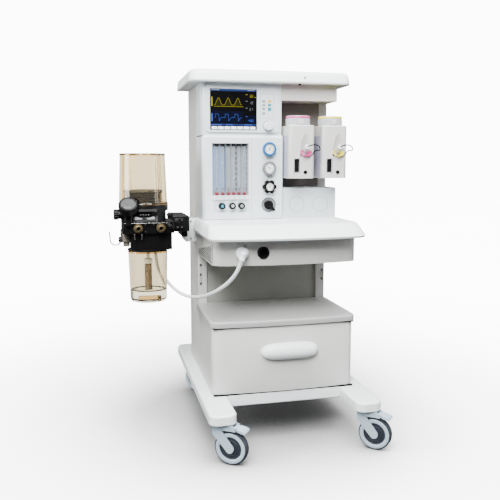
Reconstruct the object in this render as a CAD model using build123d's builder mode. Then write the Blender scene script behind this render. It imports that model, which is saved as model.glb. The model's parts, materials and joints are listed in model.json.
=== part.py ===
from build123d import *
import os
from math import cos, pi, radians, sin, tan

# Anesthesia machine on a trolley. Millimetres, +Z up, front faces -Y.
# The pieces are drawn in the trolley's own frame (X = 0 on the centre of the column, floor at Z = 0)
# and moved by ROW_SHIFT when they are written, so the row's origin is under the middle of the whole machine.
ROW_SHIFT = (139.3, 31.3, 0)

# ---- driving dimensions ----
BODY_HALF = 281.0            # half width of the column, the cabinet and the upper unit
WHEEL_R = 62.5               # caster wheel radius
LEG_BOTTOM, LEG_TOP = 155.0, 190.0
LEG_X, LEG_WIDTH = 276.0, 100.0
LEG_FRONT, LEG_BACK = -484.0, 456.0
CASTER_FRONT_Y, CASTER_REAR_Y = -438.0, 352.0
TRAIL = 38.0                 # swivel axis to wheel axis
CABINET_BACK, CABINET_TOP = 54.0, 455.0
DRAWER_SEAM = -250.0         # plane where the drawer front meets the cabinet
DRAWER_BOTTOM, DRAWER_TOP = 196.0, 450.0
SHELF_TOP = 478.0
COLUMN_FRONT, COLUMN_BACK = 55.0, 290.0
POST_WIDTH = 40.0
TOWER_FRONT = -64.0          # front plane of the monitor and the right-hand panels
PANEL_FRONT = -84.0          # front plane of the flow-meter panel
UNIT_SPLIT = 45.0            # X where the left unit ends and the vaporizer bay starts
OUTLET_BOTTOM, TRAY_BOTTOM, TRAY_TOP = 692.0, 790.0, 842.0
MONITOR_BOTTOM, TOWER_TOP, SHELF_HEIGHT = 1175.0, 1377.0, 48.0
BAY_BOTTOM, BAY_TOP = 1000.0, 1314.0
VAPORIZER_X = (104.0, 239.0)
VAPORIZER_BOTTOM, VAPORIZER_TOP = 1006.0, 1213.0
VAPORIZER_FRONT, VAPORIZER_BACK, VAPORIZER_WIDTH = -160.0, -12.0, 104.0
ABSORBER_X, ABSORBER_Y = -508.0, -28.0
BLOCK_BOTTOM, BAR_BOTTOM, BAR_TOP, DOME_SEAT = 731.0, 797.0, 842.0, 905.0
DOME_TOP = 1102.0
WALL = 4.0                   # thickness of the moulded covers
SHEET = 3.0                  # thickness of the metal covers, with their folds and stiffeners
FIT = 0.05                   # radial running clearance of a shaft in its hole
GAP = 0.3                    # clearance between faces that pass each other

os.makedirs("parts", exist_ok=True)


def save(builder, node, place=Location()):
    """Place a finished piece, move it to the row frame, label it and write its STEP file."""
    piece = Location(ROW_SHIFT) * place * builder.part
    piece.label = node
    export_step(piece, f"parts/{node}.step")


def bowed_outline(half_width, front, sag, back, corner_r):
    """Plan outline with a gently bowed front edge and two rounded front corners."""
    with BuildSketch(mode=Mode.PRIVATE) as plan:
        with BuildLine():
            Line((-half_width, back), (-half_width, front + sag))
            ThreePointArc((-half_width, front + sag), (0, front), (half_width, front + sag))
            Line((half_width, front + sag), (half_width, back))
            Line((half_width, back), (-half_width, back))
        make_face()
        corners = plan.vertices().filter_by(lambda v: v.Y < back - 1)
        fillet(corners, corner_r)
    return plan.sketch


def box(x, y, z, mode=Mode.ADD):
    """A box between two limits on each axis, in the part being built."""
    with Locations(((x[0] + x[1]) / 2, (y[0] + y[1]) / 2, (z[0] + z[1]) / 2)):
        Box(x[1] - x[0], y[1] - y[0], z[1] - z[0], mode=mode)


def rod(centre, axis, radius, length, mode=Mode.ADD):
    """A cylinder that starts at centre and runs along axis, in the part being built."""
    with Locations(Plane(origin=centre, z_dir=axis)):
        Cylinder(radius, length, align=(Align.CENTER, Align.CENTER, Align.MIN), mode=mode)


# ---- base: two legs, crossbar and deck ----
STEM_R, STEM_TOP = 9.95, 178.0
for side, node in ((-1, "leg_left"), (1, "leg_right")):
    with BuildPart() as leg:
        with BuildSketch(Plane.XY.offset(LEG_BOTTOM)) as plan:
            with Locations((side * LEG_X, (LEG_FRONT + LEG_BACK) / 2)):
                Rectangle(LEG_WIDTH, LEG_BACK - LEG_FRONT)
            fillet(plan.vertices(), 34)
        extrude(amount=LEG_TOP - LEG_BOTTOM)
        fillet(leg.faces().sort_by(Axis.Z)[-1].edges(), 9)
        for y in (CASTER_FRONT_Y, CASTER_REAR_Y):
            rod((side * LEG_X, y, LEG_BOTTOM), (0, 0, 1), STEM_R + FIT, 27, Mode.SUBTRACT)
    save(leg, node)

with BuildPart() as base_frame:
    box((-LEG_X + 50, LEG_X - 50), (-296, -266), (146, 190))
    fillet(base_frame.edges().filter_by(Axis.X).group_by(Axis.Y)[0].group_by(Axis.Z)[0], 6)
    box((-LEG_X + 50, LEG_X - 50), (-266, COLUMN_BACK), (176, 190))
    box((-LEG_X + 50, LEG_X - 50), (COLUMN_BACK - 30, COLUMN_BACK), (156, 190))
save(base_frame, "base_frame")

# ---- casters ----
FORK_HALF, SLOT_HALF = 23.0, 17.0
HUB = (TRAIL, WHEEL_R)
PEDAL_PIVOT = (53.0, 137.0)
CASTERS = (
    ("front_left", -LEG_X, CASTER_FRONT_Y, -34),
    ("front_right", LEG_X, CASTER_FRONT_Y, -40),
    ("rear_left", -LEG_X, CASTER_REAR_Y, -58),
    ("rear_right", LEG_X, CASTER_REAR_Y, -44),
)


def make_fork(braked):
    """Swivel fork in its own frame: stem on Z, wheel trailing along +X."""
    with BuildPart() as fork:
        with BuildSketch(Plane.XZ):
            reach = 60 if braked else 46
            with BuildLine():
                Polyline((-28, 154.7), (32, 154.7), (reach, 143), (reach, 129.5), (4, 129.5),
                         (49, 73), (27, 52), (-28, 112), close=True)
            make_face()
            with Locations(HUB):
                Circle(15)
        extrude(amount=FORK_HALF, both=True)
        with BuildSketch(Plane.XZ):
            with Locations(HUB):
                Circle(WHEEL_R + 3)
        extrude(amount=SLOT_HALF, both=True, mode=Mode.SUBTRACT)
        if braked:
            box((44, 62), (-SLOT_HALF - 1, SLOT_HALF + 1), (125, 156), Mode.SUBTRACT)
            rod((PEDAL_PIVOT[0], -FORK_HALF - 1, PEDAL_PIVOT[1]), (0, 1, 0), 3, 2 * FORK_HALF + 2,
                Mode.SUBTRACT)
        rod((HUB[0], -FORK_HALF, HUB[1]), (0, 1, 0), 6 - FIT, 2 * FORK_HALF)
        rod((0, 0, 150), (0, 0, 1), STEM_R, STEM_TOP - 150)
    return fork


def make_wheel():
    """Wheel with a crowned tyre, side recesses and a plain bore."""
    with BuildPart() as wheel:
        with Locations(Plane(origin=(HUB[0], 0, HUB[1]), z_dir=(0, 1, 0))):
            Cylinder(WHEEL_R, 31)
            fillet(wheel.edges(), 7)
            with Locations((0, 0, 15.5), (0, 0, -15.5)):
                Cylinder(46, 7, mode=Mode.SUBTRACT)
            Cylinder(15, 31)
            Cylinder(6, 40, mode=Mode.SUBTRACT)
    return wheel


def make_pedal():
    """Brake pedal that tips about a pin held in the fork."""
    with BuildPart() as pedal:
        with BuildSketch(Plane.XZ):
            with Locations(PEDAL_PIVOT):
                Circle(6)
            with BuildLine():
                Polyline((53, 143), (92, 134), (98, 128), (94, 124), (66, 131), (53, 131), close=True)
            make_face()
        extrude(amount=SLOT_HALF, both=True)
        with BuildSketch(Plane.XZ):
            with BuildLine():
                Polyline((66, 140), (92, 134), (98, 128), (94, 124), (66, 131), close=True)
            make_face()
        extrude(amount=FORK_HALF, both=True)
        rod((PEDAL_PIVOT[0], -FORK_HALF, PEDAL_PIVOT[1]), (0, 1, 0), 3 - FIT, 2 * FORK_HALF)
    return pedal


for corner, x, y, heading in CASTERS:
    place = Location((x, y, 0), (0, 0, heading))
    braked = corner.startswith("front")
    save(make_fork(braked), f"caster_fork_{corner}", place)
    save(make_wheel(), f"caster_wheel_{corner}", place)
    if braked:
        save(make_pedal(), f"brake_pedal_{corner}", place)

# ---- cabinet and drawer ----
with BuildPart() as cabinet_shell:
    box((-BODY_HALF, BODY_HALF), (DRAWER_SEAM + 2, CABINET_BACK), (LEG_TOP, CABINET_TOP))
    box((-BODY_HALF + SHEET, BODY_HALF - SHEET), (DRAWER_SEAM - 5, CABINET_BACK - SHEET),
        (LEG_TOP + SHEET, CABINET_TOP - SHEET), Mode.SUBTRACT)
save(cabinet_shell, "cabinet_shell")

with BuildPart() as cabinet_shelf:
    with BuildSketch(Plane.XY.offset(CABINET_TOP)):
        add(bowed_outline(BODY_HALF + 8, -308, 14, CABINET_BACK, 34))
    extrude(amount=SHELF_TOP - CABINET_TOP)
    fillet(cabinet_shelf.faces().sort_by(Axis.Z)[-1].edges().filter_by(lambda e: e.center().Y < 50), 8)
    box((-255, 255), (-235, 40), (CABINET_TOP - 1, SHELF_TOP - WALL), Mode.SUBTRACT)
save(cabinet_shelf, "cabinet_shelf")

with BuildPart() as drawer_front:
    with BuildSketch(Plane.XY.offset(DRAWER_BOTTOM)):
        add(bowed_outline(BODY_HALF, -300, 14, DRAWER_SEAM, 28))
    extrude(amount=DRAWER_TOP - DRAWER_BOTTOM)
    box((-BODY_HALF + 8, BODY_HALF - 8), (-272, DRAWER_SEAM + 1), (DRAWER_BOTTOM + 8, DRAWER_TOP - 8),
        Mode.SUBTRACT)
save(drawer_front, "drawer_front")

TRAY_HALF = 260.0
with BuildPart() as drawer_tray:
    box((-TRAY_HALF, TRAY_HALF), (-272, 30), (212, 400))
    box((-TRAY_HALF + 3, TRAY_HALF - 3), (-269, 27), (215, 401), Mode.SUBTRACT)
save(drawer_tray, "drawer_tray")

with BuildPart() as drawer_runners:
    for side in (-1, 1):
        inner, outer = TRAY_HALF + 0.6, BODY_HALF - SHEET
        low, high = sorted((side * inner, side * outer))
        box((low, high), (-240, 40), (285, 325))
save(drawer_runners, "drawer_runners")

HANDLE_X, HANDLE_Z, HANDLE_LENGTH, HANDLE_HEIGHT = 16.0, 354.0, 228.0, 66.0
with BuildPart() as drawer_handle:
    with BuildSketch(Plane.XZ.offset(292)):
        with Locations((HANDLE_X, HANDLE_Z)):
            SlotOverall(HANDLE_LENGTH + 6, HANDLE_HEIGHT + 6)
    with BuildSketch(Plane.XZ.offset(333)):
        with Locations((HANDLE_X, HANDLE_Z - 4)):
            SlotOverall(HANDLE_LENGTH - 44, HANDLE_HEIGHT - 34)
    loft()
    box((HANDLE_X - 84, HANDLE_X + 84), (-326, -290), (HANDLE_Z - 40, HANDLE_Z + 14), Mode.SUBTRACT)
    with BuildSketch(Plane.XY.offset(DRAWER_BOTTOM)):
        add(bowed_outline(BODY_HALF, -300, 14, DRAWER_SEAM, 28))
    extrude(amount=DRAWER_TOP - DRAWER_BOTTOM, mode=Mode.SUBTRACT)
save(drawer_handle, "drawer_handle")

# ---- column ----
for side, node in ((-1, "post_left"), (1, "post_right")):
    with BuildPart() as post:
        inner, outer = sorted((side * (BODY_HALF - POST_WIDTH), side * BODY_HALF))
        box((inner, outer), (COLUMN_FRONT, COLUMN_BACK), (LEG_TOP, TOWER_TOP))
        fillet(post.edges().filter_by(Axis.Z), 5)
        box((inner + 3, outer - 3), (COLUMN_FRONT + 3, COLUMN_BACK - 3), (LEG_TOP - 1, TOWER_TOP + 1),
            Mode.SUBTRACT)
        for z in (560, 600, 640):
            rod((side * (BODY_HALF - 12), COLUMN_FRONT - 1, z), (0, 1, 0), 3, 6, Mode.SUBTRACT)
    save(post, node)

INNER_HALF = BODY_HALF - POST_WIDTH
with BuildPart() as back_panels:
    box((-INNER_HALF, INNER_HALF), (COLUMN_FRONT + 12, COLUMN_FRONT + 15), (LEG_TOP, TOWER_TOP))
    box((UNIT_SPLIT + GAP, INNER_HALF), (CABINET_BACK - 8, CABINET_BACK - 8 + SHEET), (BAY_BOTTOM, BAY_TOP))
save(back_panels, "back_panels")

with BuildPart() as rear_cover:
    box((-INNER_HALF, INNER_HALF), (COLUMN_BACK - SHEET, COLUMN_BACK), (LEG_TOP + 10, TOWER_TOP - 10))
    with Locations(Plane(origin=(0, COLUMN_BACK, 1100), x_dir=(1, 0, 0), z_dir=(0, 1, 0))):
        with GridLocations(40, 16, 6, 7):
            Box(28, 6, 20, mode=Mode.SUBTRACT)
save(rear_cover, "rear_cover")

# ---- worktop and outlet box ----
PANEL_FOOT = TRAY_TOP - 4    # the upper unit stands this far down in the worktop
# height above the underside, half width, front and corner radius of the moulding's outline
WORKTOP_LEVELS = ((0, 299, -397, 58), (8, 302, -400, 60), (34, 295, -362, 54), (46, 290, -341, 50), (52, 284, -330, 46))
with BuildPart() as worktop:
    for z, half, front, corner_r in WORKTOP_LEVELS:
        with BuildSketch(Plane.XY.offset(TRAY_BOTTOM + z)):
            add(bowed_outline(half, front, 28, CABINET_BACK, corner_r))
    loft(ruled=True)
    # the moulding is hollow above the outlet box
    box((-255, 255), (-285, 40), (TRAY_BOTTOM - 1, TRAY_TOP - 8), Mode.SUBTRACT)
    # rebates that the flow panel and the lower panel stand in
    box((-BODY_HALF - 0.5, UNIT_SPLIT + GAP / 2), (PANEL_FRONT - 0.5, CABINET_BACK + 1), (PANEL_FOOT, TRAY_TOP + 1),
        Mode.SUBTRACT)
    box((UNIT_SPLIT, BODY_HALF + 0.5), (TOWER_FRONT - 0.5, CABINET_BACK + 1), (PANEL_FOOT, TRAY_TOP + 1),
        Mode.SUBTRACT)
save(worktop, "worktop")

PORT_X, SOCKET_X, PORT_Z = -176.0, -97.0, 741.0
with BuildPart() as outlet_box:
    with BuildSketch(Plane.XY.offset(OUTLET_BOTTOM)):
        add(bowed_outline(BODY_HALF, -332, 30, CABINET_BACK, 40))
    extrude(amount=TRAY_BOTTOM - OUTLET_BOTTOM)
    with BuildSketch(Plane.XY.offset(OUTLET_BOTTOM + WALL)):
        add(bowed_outline(BODY_HALF - WALL, -332 + WALL, 30, CABINET_BACK - WALL, 36))
    extrude(amount=TRAY_BOTTOM, mode=Mode.SUBTRACT)
    rod((PORT_X, -345, PORT_Z), (0, 1, 0), 10, 40, Mode.SUBTRACT)
    rod((SOCKET_X, -345, PORT_Z), (0, 1, 0), 20, 40, Mode.SUBTRACT)
save(outlet_box, "outlet_box")

HOSE_R = 7.0
ELBOW_TILT = radians(20)
ELBOW_AXIS = (-sin(ELBOW_TILT), 0, -cos(ELBOW_TILT))
HOSE_START = (PORT_X + 25 * ELBOW_AXIS[0], -356.0, PORT_Z + 25 * ELBOW_AXIS[2])
with BuildPart() as gas_outlet:
    rod((PORT_X, -336, PORT_Z), (0, 1, 0), 22, 24)
    with BuildSketch(Plane.XY.offset(OUTLET_BOTTOM)):
        add(bowed_outline(BODY_HALF, -332, 30, CABINET_BACK, 40))
    extrude(amount=TRAY_BOTTOM - OUTLET_BOTTOM, mode=Mode.SUBTRACT)
    rod((PORT_X, -356, PORT_Z), (0, 1, 0), 12, 22)
    rod((PORT_X, -304, PORT_Z), (0, -1, 0), 9.9, 30)
    with Locations((PORT_X, -356, PORT_Z)):
        Sphere(12)
    rod((PORT_X, -356, PORT_Z), ELBOW_AXIS, 11, 25)
save(gas_outlet, "gas_outlet")

with BuildPart() as round_socket:
    rod((SOCKET_X, -336, PORT_Z), (0, 1, 0), 22, 16)
    with BuildSketch(Plane.XY.offset(OUTLET_BOTTOM)):
        add(bowed_outline(BODY_HALF, -332, 30, CABINET_BACK, 40))
    extrude(amount=TRAY_BOTTOM - OUTLET_BOTTOM, mode=Mode.SUBTRACT)
    rod((SOCKET_X, -334, PORT_Z), (0, 1, 0), 19.8, 30)
    rod((SOCKET_X, -337, PORT_Z), (0, 1, 0), 14, 24, Mode.SUBTRACT)
save(round_socket, "round_socket")

# ---- upper unit, left: monitor and flow-meter panel ----
ENCODER_X, ENCODER_Z = -13.0, 1212.0
with BuildPart() as monitor_housing:
    box((-BODY_HALF, UNIT_SPLIT), (TOWER_FRONT, CABINET_BACK), (MONITOR_BOTTOM, TOWER_TOP))
    left_corner = monitor_housing.edges().filter_by(Axis.Z).group_by(Axis.Y)[0].sort_by(Axis.X)[0]
    fillet(left_corner, 16)
    box((-BODY_HALF + WALL, UNIT_SPLIT - WALL), (TOWER_FRONT + WALL, CABINET_BACK + 1),
        (MONITOR_BOTTOM + WALL, TOWER_TOP - WALL), Mode.SUBTRACT)
    with BuildSketch(Plane.XZ.offset(-TOWER_FRONT)) as bezel:
        with Locations(((-262 + 34) / 2, (1186 + 1364) / 2)):
            Rectangle(296, 178)
        fillet(bezel.vertices().group_by(Axis.Y)[0], 14)
    extrude(amount=6)
    rod((ENCODER_X, TOWER_FRONT - 8, ENCODER_Z), (0, 1, 0), 4, 14, Mode.SUBTRACT)
save(monitor_housing, "monitor_housing")

with BuildPart() as display_panel:
    box((-246, -58), (TOWER_FRONT - 8, TOWER_FRONT - 6), (1196, 1353))
    box((-44, 12), (TOWER_FRONT - 7.5, TOWER_FRONT - 6), (1240, 1338))
save(display_panel, "display_panel")

TUBE_X = (-222.0, -198.0, -175.0, -153.0, -132.0, -110.0)
TUBE_LOW, TUBE_HIGH = 945.0, 1136.0
KNOB_X, KNOB_Z = (-204.0, -162.0, -125.0), 897.0
GAUGE_X, GAUGE_Z = -12.0, (1121.0, 1046.0)
REGULATOR_Z, SELECTOR_Z = 972.0, 899.0
with BuildPart() as flow_panel:
    box((-BODY_HALF, UNIT_SPLIT), (PANEL_FRONT, CABINET_BACK), (PANEL_FOOT, MONITOR_BOTTOM))
    left_corner = flow_panel.edges().filter_by(Axis.Z).group_by(Axis.Y)[0].sort_by(Axis.X)[0]
    fillet(left_corner, 16)
    top_edge = flow_panel.edges().filter_by(Axis.X).group_by(Axis.Y)[0].sort_by(Axis.Z)[-1]
    chamfer(top_edge, 10)
    box((-BODY_HALF + WALL, UNIT_SPLIT - WALL), (PANEL_FRONT + 22, CABINET_BACK + 1),
        (PANEL_FOOT + WALL, MONITOR_BOTTOM - WALL), Mode.SUBTRACT)
    box((-241, -94), (PANEL_FRONT - 1, PANEL_FRONT + 17), (938, 1143), Mode.SUBTRACT)
    box((-240, -92), (PANEL_FRONT - 1, PANEL_FRONT + 4), (872, 922), Mode.SUBTRACT)
    rod((GAUGE_X, PANEL_FRONT - 1, SELECTOR_Z), (0, 1, 0), 29, 9, Mode.SUBTRACT)
    spindles = [(x, KNOB_Z) for x in KNOB_X] + [(GAUGE_X, REGULATOR_Z), (GAUGE_X, SELECTOR_Z)]
    for x, z in spindles:
        rod((x, PANEL_FRONT - 1, z), (0, 1, 0), 4, 30, Mode.SUBTRACT)
save(flow_panel, "flow_panel")

with BuildPart() as flow_tubes:
    for x in TUBE_X:
        rod((x, PANEL_FRONT + 9, TUBE_LOW - 6), (0, 0, 1), 7, TUBE_HIGH - TUBE_LOW + 12)
save(flow_tubes, "flow_tubes")


def make_knob(x, front, z, radius, depth, seat):
    """Round knob with a grip of shallow flutes, a spindle behind it and a small gap to its seat."""
    with BuildPart() as knob:
        rod((x, seat - GAP, z), (0, -1, 0), radius, seat - GAP - front)
        fillet(knob.edges().group_by(Axis.Y)[0], 2)
        with Locations(Plane(origin=(x, front + depth / 2, z), z_dir=(0, -1, 0))):
            with PolarLocations(radius + 1.2, 16):
                Cylinder(2, depth, mode=Mode.SUBTRACT)
        rod((x, seat - 1, z), (0, 1, 0), 4 - FIT, 16)
    return knob


for number, x in enumerate(KNOB_X, start=1):
    save(make_knob(x, PANEL_FRONT - 16, KNOB_Z, 13.5, 12, PANEL_FRONT + 4), f"flow_knob_{number}")
save(make_knob(ENCODER_X, TOWER_FRONT - 28, ENCODER_Z, 17, 14, TOWER_FRONT - 6), "encoder_knob")

with BuildPart() as pressure_gauges:
    for z in GAUGE_Z:
        rod((GAUGE_X, PANEL_FRONT, z), (0, -1, 0), 27.5, 14)
        box((GAUGE_X - 11, GAUGE_X + 11), (PANEL_FRONT - 12, PANEL_FRONT), (z - 32, z - 20))
save(pressure_gauges, "pressure_gauges")

with BuildPart() as regulator_knob:
    rod((GAUGE_X, PANEL_FRONT - GAP, REGULATOR_Z), (0, -1, 0), 27.5, 20)
    with Locations(Plane(origin=(GAUGE_X, PANEL_FRONT - 10, REGULATOR_Z), z_dir=(0, -1, 0))):
        with PolarLocations(31, 6):
            Cylinder(9, 24, mode=Mode.SUBTRACT)
    rod((GAUGE_X, PANEL_FRONT - 1, REGULATOR_Z), (0, 1, 0), 4 - FIT, 16)
save(regulator_knob, "regulator_knob")

SELECTOR_SEAT = PANEL_FRONT + 8
with BuildPart() as selector_switch:
    rod((GAUGE_X, SELECTOR_SEAT - GAP, SELECTOR_Z), (0, -1, 0), 18, 14)
    with BuildSketch(Plane.XZ.offset(-SELECTOR_SEAT + 10)):
        with Locations((GAUGE_X, SELECTOR_Z)):
            with Locations(Location((9, -9, 0), (0, 0, -45))):
                SlotOverall(40, 11)
    extrude(amount=12)
    rod((GAUGE_X, SELECTOR_SEAT - 1, SELECTOR_Z), (0, 1, 0), 4 - FIT, 12)
save(selector_switch, "selector_switch")

# ---- upper unit, right: header, vaporizer bay, lower panel ----
with BuildPart() as header_panel:
    box((UNIT_SPLIT + GAP, BODY_HALF), (TOWER_FRONT, CABINET_BACK), (BAY_TOP, TOWER_TOP))
    box((UNIT_SPLIT + GAP + WALL, BODY_HALF - WALL), (TOWER_FRONT + WALL, CABINET_BACK + 1),
        (BAY_TOP + WALL, TOWER_TOP - WALL), Mode.SUBTRACT)
save(header_panel, "header_panel")

with BuildPart() as lower_panel:
    box((UNIT_SPLIT + GAP, BODY_HALF), (TOWER_FRONT, CABINET_BACK), (PANEL_FOOT, BAY_BOTTOM))
    box((UNIT_SPLIT + GAP + WALL, BODY_HALF - WALL), (TOWER_FRONT + WALL, CABINET_BACK + 1),
        (PANEL_FOOT + WALL, BAY_BOTTOM - WALL), Mode.SUBTRACT)
    for x in (112, 214):
        rod((x, TOWER_FRONT, 898), (0, -1, 0), 37, 2.5)
save(lower_panel, "lower_panel")

# ---- top shelf ----
SHELF_LEVELS = ((0, 327, -111, 36), (6, 329, -113, 36), (34, 326, -103, 34), (43, 322, -97, 32), (48, 314, -89, 28))
with BuildPart() as top_shelf:
    for z, half, front, corner_r in SHELF_LEVELS:
        with BuildSketch(Plane.XY.offset(TOWER_TOP + z)):
            add(bowed_outline(half, front, 8, COLUMN_BACK, corner_r))
    loft(ruled=True)
    # the moulding is hollow above the tower and the column
    box((-236, 236), (-50, 280), (TOWER_TOP - 1, TOWER_TOP + SHELF_HEIGHT - WALL), Mode.SUBTRACT)
save(top_shelf, "top_shelf")

# ---- vaporizers on their back bar ----
BAR_Z = 1120.0
with BuildPart() as vaporizer_bar:
    box((UNIT_SPLIT + 6, BODY_HALF), (18, 46), (BAR_Z - 18, BAR_Z + 18))
    for x in VAPORIZER_X:
        box((x - 30, x + 30), (VAPORIZER_BACK, 18), (BAR_Z - 14, BAR_Z + 14))
save(vaporizer_bar, "vaporizer_bar")

DIAL_Y, DIAL_R, DIAL_HEIGHT = -98.0, 47.5, 37.0
FILLER_TILT = radians(38)
FILLER_AXIS = (0, -cos(FILLER_TILT), sin(FILLER_TILT))
FILLER_DX, FILLER_Y, FILLER_Z = 15.0, -150.0, 1104.0
for number, x in enumerate(VAPORIZER_X, start=1):
    filler = (x + FILLER_DX, FILLER_Y, FILLER_Z)
    with BuildPart() as vaporizer:
        half = VAPORIZER_WIDTH / 2
        box((x - half, x + half), (VAPORIZER_FRONT, VAPORIZER_BACK), (VAPORIZER_BOTTOM, VAPORIZER_TOP))
        fillet(vaporizer.edges().filter_by(Axis.Z).group_by(Axis.Y)[0], 16)
        fillet(vaporizer.faces().sort_by(Axis.Z)[-1].edges(), 5)
        # concave scoop above the filler
        rod((filler[0], VAPORIZER_FRONT - 4, FILLER_Z - 14), (0, -0.24, 1), 25, 100, Mode.SUBTRACT)
        # sight-glass window
        box((x - 32, x - 12), (VAPORIZER_FRONT - 1, VAPORIZER_FRONT + 6), (1030, 1082), Mode.SUBTRACT)
        rod(filler, FILLER_AXIS, 8, 30, Mode.SUBTRACT)
        rod((x, DIAL_Y, VAPORIZER_TOP + 1), (0, 0, -1), 10, 16, Mode.SUBTRACT)
    save(vaporizer, f"vaporizer_body_{number}")

    with BuildPart() as dial:
        rod((x, DIAL_Y, VAPORIZER_TOP + GAP), (0, 0, 1), DIAL_R, DIAL_HEIGHT)
        fillet(dial.edges().group_by(Axis.Z)[-1], 3)
        rod((x, DIAL_Y, VAPORIZER_TOP + GAP), (0, 0, -1), 10 - FIT, 14)
    save(dial, f"vaporizer_dial_{number}")

    cap_seat = (filler[0], filler[1] + FILLER_AXIS[1] * 6, filler[2] + FILLER_AXIS[2] * 6)
    with BuildPart() as cap:
        rod(cap_seat, FILLER_AXIS, 8 - FIT, 22)
        rod(tuple(c + a * 22 for c, a in zip(cap_seat, FILLER_AXIS)), FILLER_AXIS, 11, 14)
    save(cap, f"filler_cap_{number}")

# ---- breathing block, bellows and canister ----
RELIEF_SEAT = -606.0
LEVER_PIVOT = (-470.0, 888.0)
HOSE_END = (-452.0, 92.0, 742.0)
with BuildPart() as circuit_block:
    box((-594, -396), (-112, 52), (BAR_BOTTOM, BAR_TOP))
    fillet(circuit_block.edges().filter_by(Axis.Z), 8)
    box((-560, -404), (-96, 52), (BLOCK_BOTTOM, BAR_BOTTOM))
    rod((ABSORBER_X, ABSORBER_Y, BAR_TOP), (0, 0, 1), 88, 40)
    rod((ABSORBER_X, ABSORBER_Y, BAR_TOP + 40), (0, 0, 1), 97, DOME_SEAT - BAR_TOP - 40)
    rod((RELIEF_SEAT, -50, 868), (1, 0, 0), 18, 60)
    rod((RELIEF_SEAT - 1, -50, 868), (1, 0, 0), 4, 18, Mode.SUBTRACT)
    rod((LEVER_PIVOT[0], -128, LEVER_PIVOT[1]), (0, 1, 0), 3, 30, Mode.SUBTRACT)
    # port block behind, which the fresh-gas hose enters from below
    box((HOSE_END[0] - 13, HOSE_END[0] + 13), (52, HOSE_END[1] + 13), (HOSE_END[2], HOSE_END[2] + 30))
    # water trap at the left, under the main bar
    rod((-578, -50, BAR_BOTTOM), (0, 0, -1), 17, 38)
    rod((-578, -50, BAR_BOTTOM - 38), (0, 0, -1), 12, 16)
save(circuit_block, "circuit_block")

with BuildPart() as bellows_dome:
    with BuildSketch(Plane.XZ):
        with BuildLine():
            Polyline((0, DOME_SEAT), (94, DOME_SEAT), (94, DOME_SEAT + 8), (87, DOME_TOP), (0, DOME_TOP),
                     close=True)
        make_face()
        with BuildLine():
            Polyline((0, DOME_SEAT - 1), (90.5, DOME_SEAT - 1), (90.5, DOME_SEAT + 8), (83.5, DOME_TOP - 3.5),
                     (0, DOME_TOP - 3.5), close=True)
        make_face(mode=Mode.SUBTRACT)
    revolve(axis=Axis.Z)
save(bellows_dome, "bellows_dome", Location((ABSORBER_X, ABSORBER_Y, 0)))

PLEATS, PLEAT_HEIGHT = 6, 8.0
with BuildPart() as bellows:
    for pleat in range(PLEATS):
        base = DOME_SEAT + pleat * PLEAT_HEIGHT
        with BuildSketch(Plane.XZ):
            with BuildLine():
                Polyline((50, base), (66, base), (76, base + PLEAT_HEIGHT / 2), (66, base + PLEAT_HEIGHT),
                         (50, base + PLEAT_HEIGHT), close=True)
            make_face()
        revolve(axis=Axis.Z)
save(bellows, "bellows", Location((ABSORBER_X, ABSORBER_Y, 0)))

BELLOWS_TOP = DOME_SEAT + PLEATS * PLEAT_HEIGHT
with BuildPart() as bellows_plate:
    rod((ABSORBER_X, ABSORBER_Y, BELLOWS_TOP + GAP), (0, 0, 1), 76, 8)
save(bellows_plate, "bellows_plate")

GAUGE_TILT = radians(48)
AIRWAY_AXIS = (0, -cos(GAUGE_TILT), sin(GAUGE_TILT))
AIRWAY_BASE = (-572, -136, 893)
with BuildPart() as airway_gauge:
    rod(AIRWAY_BASE, AIRWAY_AXIS, 35, 28)
    fillet(airway_gauge.edges().filter_by(GeomType.CIRCLE).sort_by(Axis.Z)[-1], 3)
    rod(AIRWAY_BASE, tuple(-a for a in AIRWAY_AXIS), 8, 16)
    box((-582, -562), (-130, -112), (BAR_TOP - 12, BAR_TOP + 42))
save(airway_gauge, "airway_gauge")

with BuildPart() as relief_knob:
    rod((RELIEF_SEAT - GAP, -50, 868), (-1, 0, 0), 21, 18)
    with Locations(Plane(origin=(RELIEF_SEAT - 9, -50, 868), z_dir=(1, 0, 0))):
        with PolarLocations(23, 14):
            Cylinder(4, 30, mode=Mode.SUBTRACT)
    rod((RELIEF_SEAT - GAP - 1, -50, 868), (1, 0, 0), 4 - FIT, 14)
save(relief_knob, "relief_knob")

PORT_Z_BLOCK = 819.0
PORT_XS = (-536.0, -450.0)
with BuildPart() as breathing_ports:
    for x in PORT_XS:
        rod((x, -112, PORT_Z_BLOCK), (0, -1, 0), 16.5, 10)
        rod((x, -122, PORT_Z_BLOCK), (0, -1, 0), 11, 24)
        rod((x, -112, PORT_Z_BLOCK), (0, -1, 0), 7.5, 40, Mode.SUBTRACT)
save(breathing_ports, "breathing_ports")

CANISTER_X = -494.0
CANISTER_TOP, CANISTER_BOTTOM, CANISTER_FLOOR = 731.0, 520.0, 566.0
with BuildPart() as canister:
    with BuildSketch(Plane.XZ):
        with BuildLine():
            Polyline((0, CANISTER_BOTTOM), (66, CANISTER_BOTTOM), (72, CANISTER_BOTTOM + 8), (78, CANISTER_TOP),
                     (74, CANISTER_TOP), (69, CANISTER_FLOOR), (0, CANISTER_FLOOR), close=True)
        make_face()
    revolve(axis=Axis.Z)
    rod((0, 0, CANISTER_FLOOR), (0, 0, 1), 16, 120)
    rod((0, 0, CANISTER_FLOOR + 120), (0, 0, 1), 8, CANISTER_TOP - CANISTER_FLOOR - 120)
save(canister, "canister", Location((CANISTER_X, ABSORBER_Y, 0)))

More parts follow.
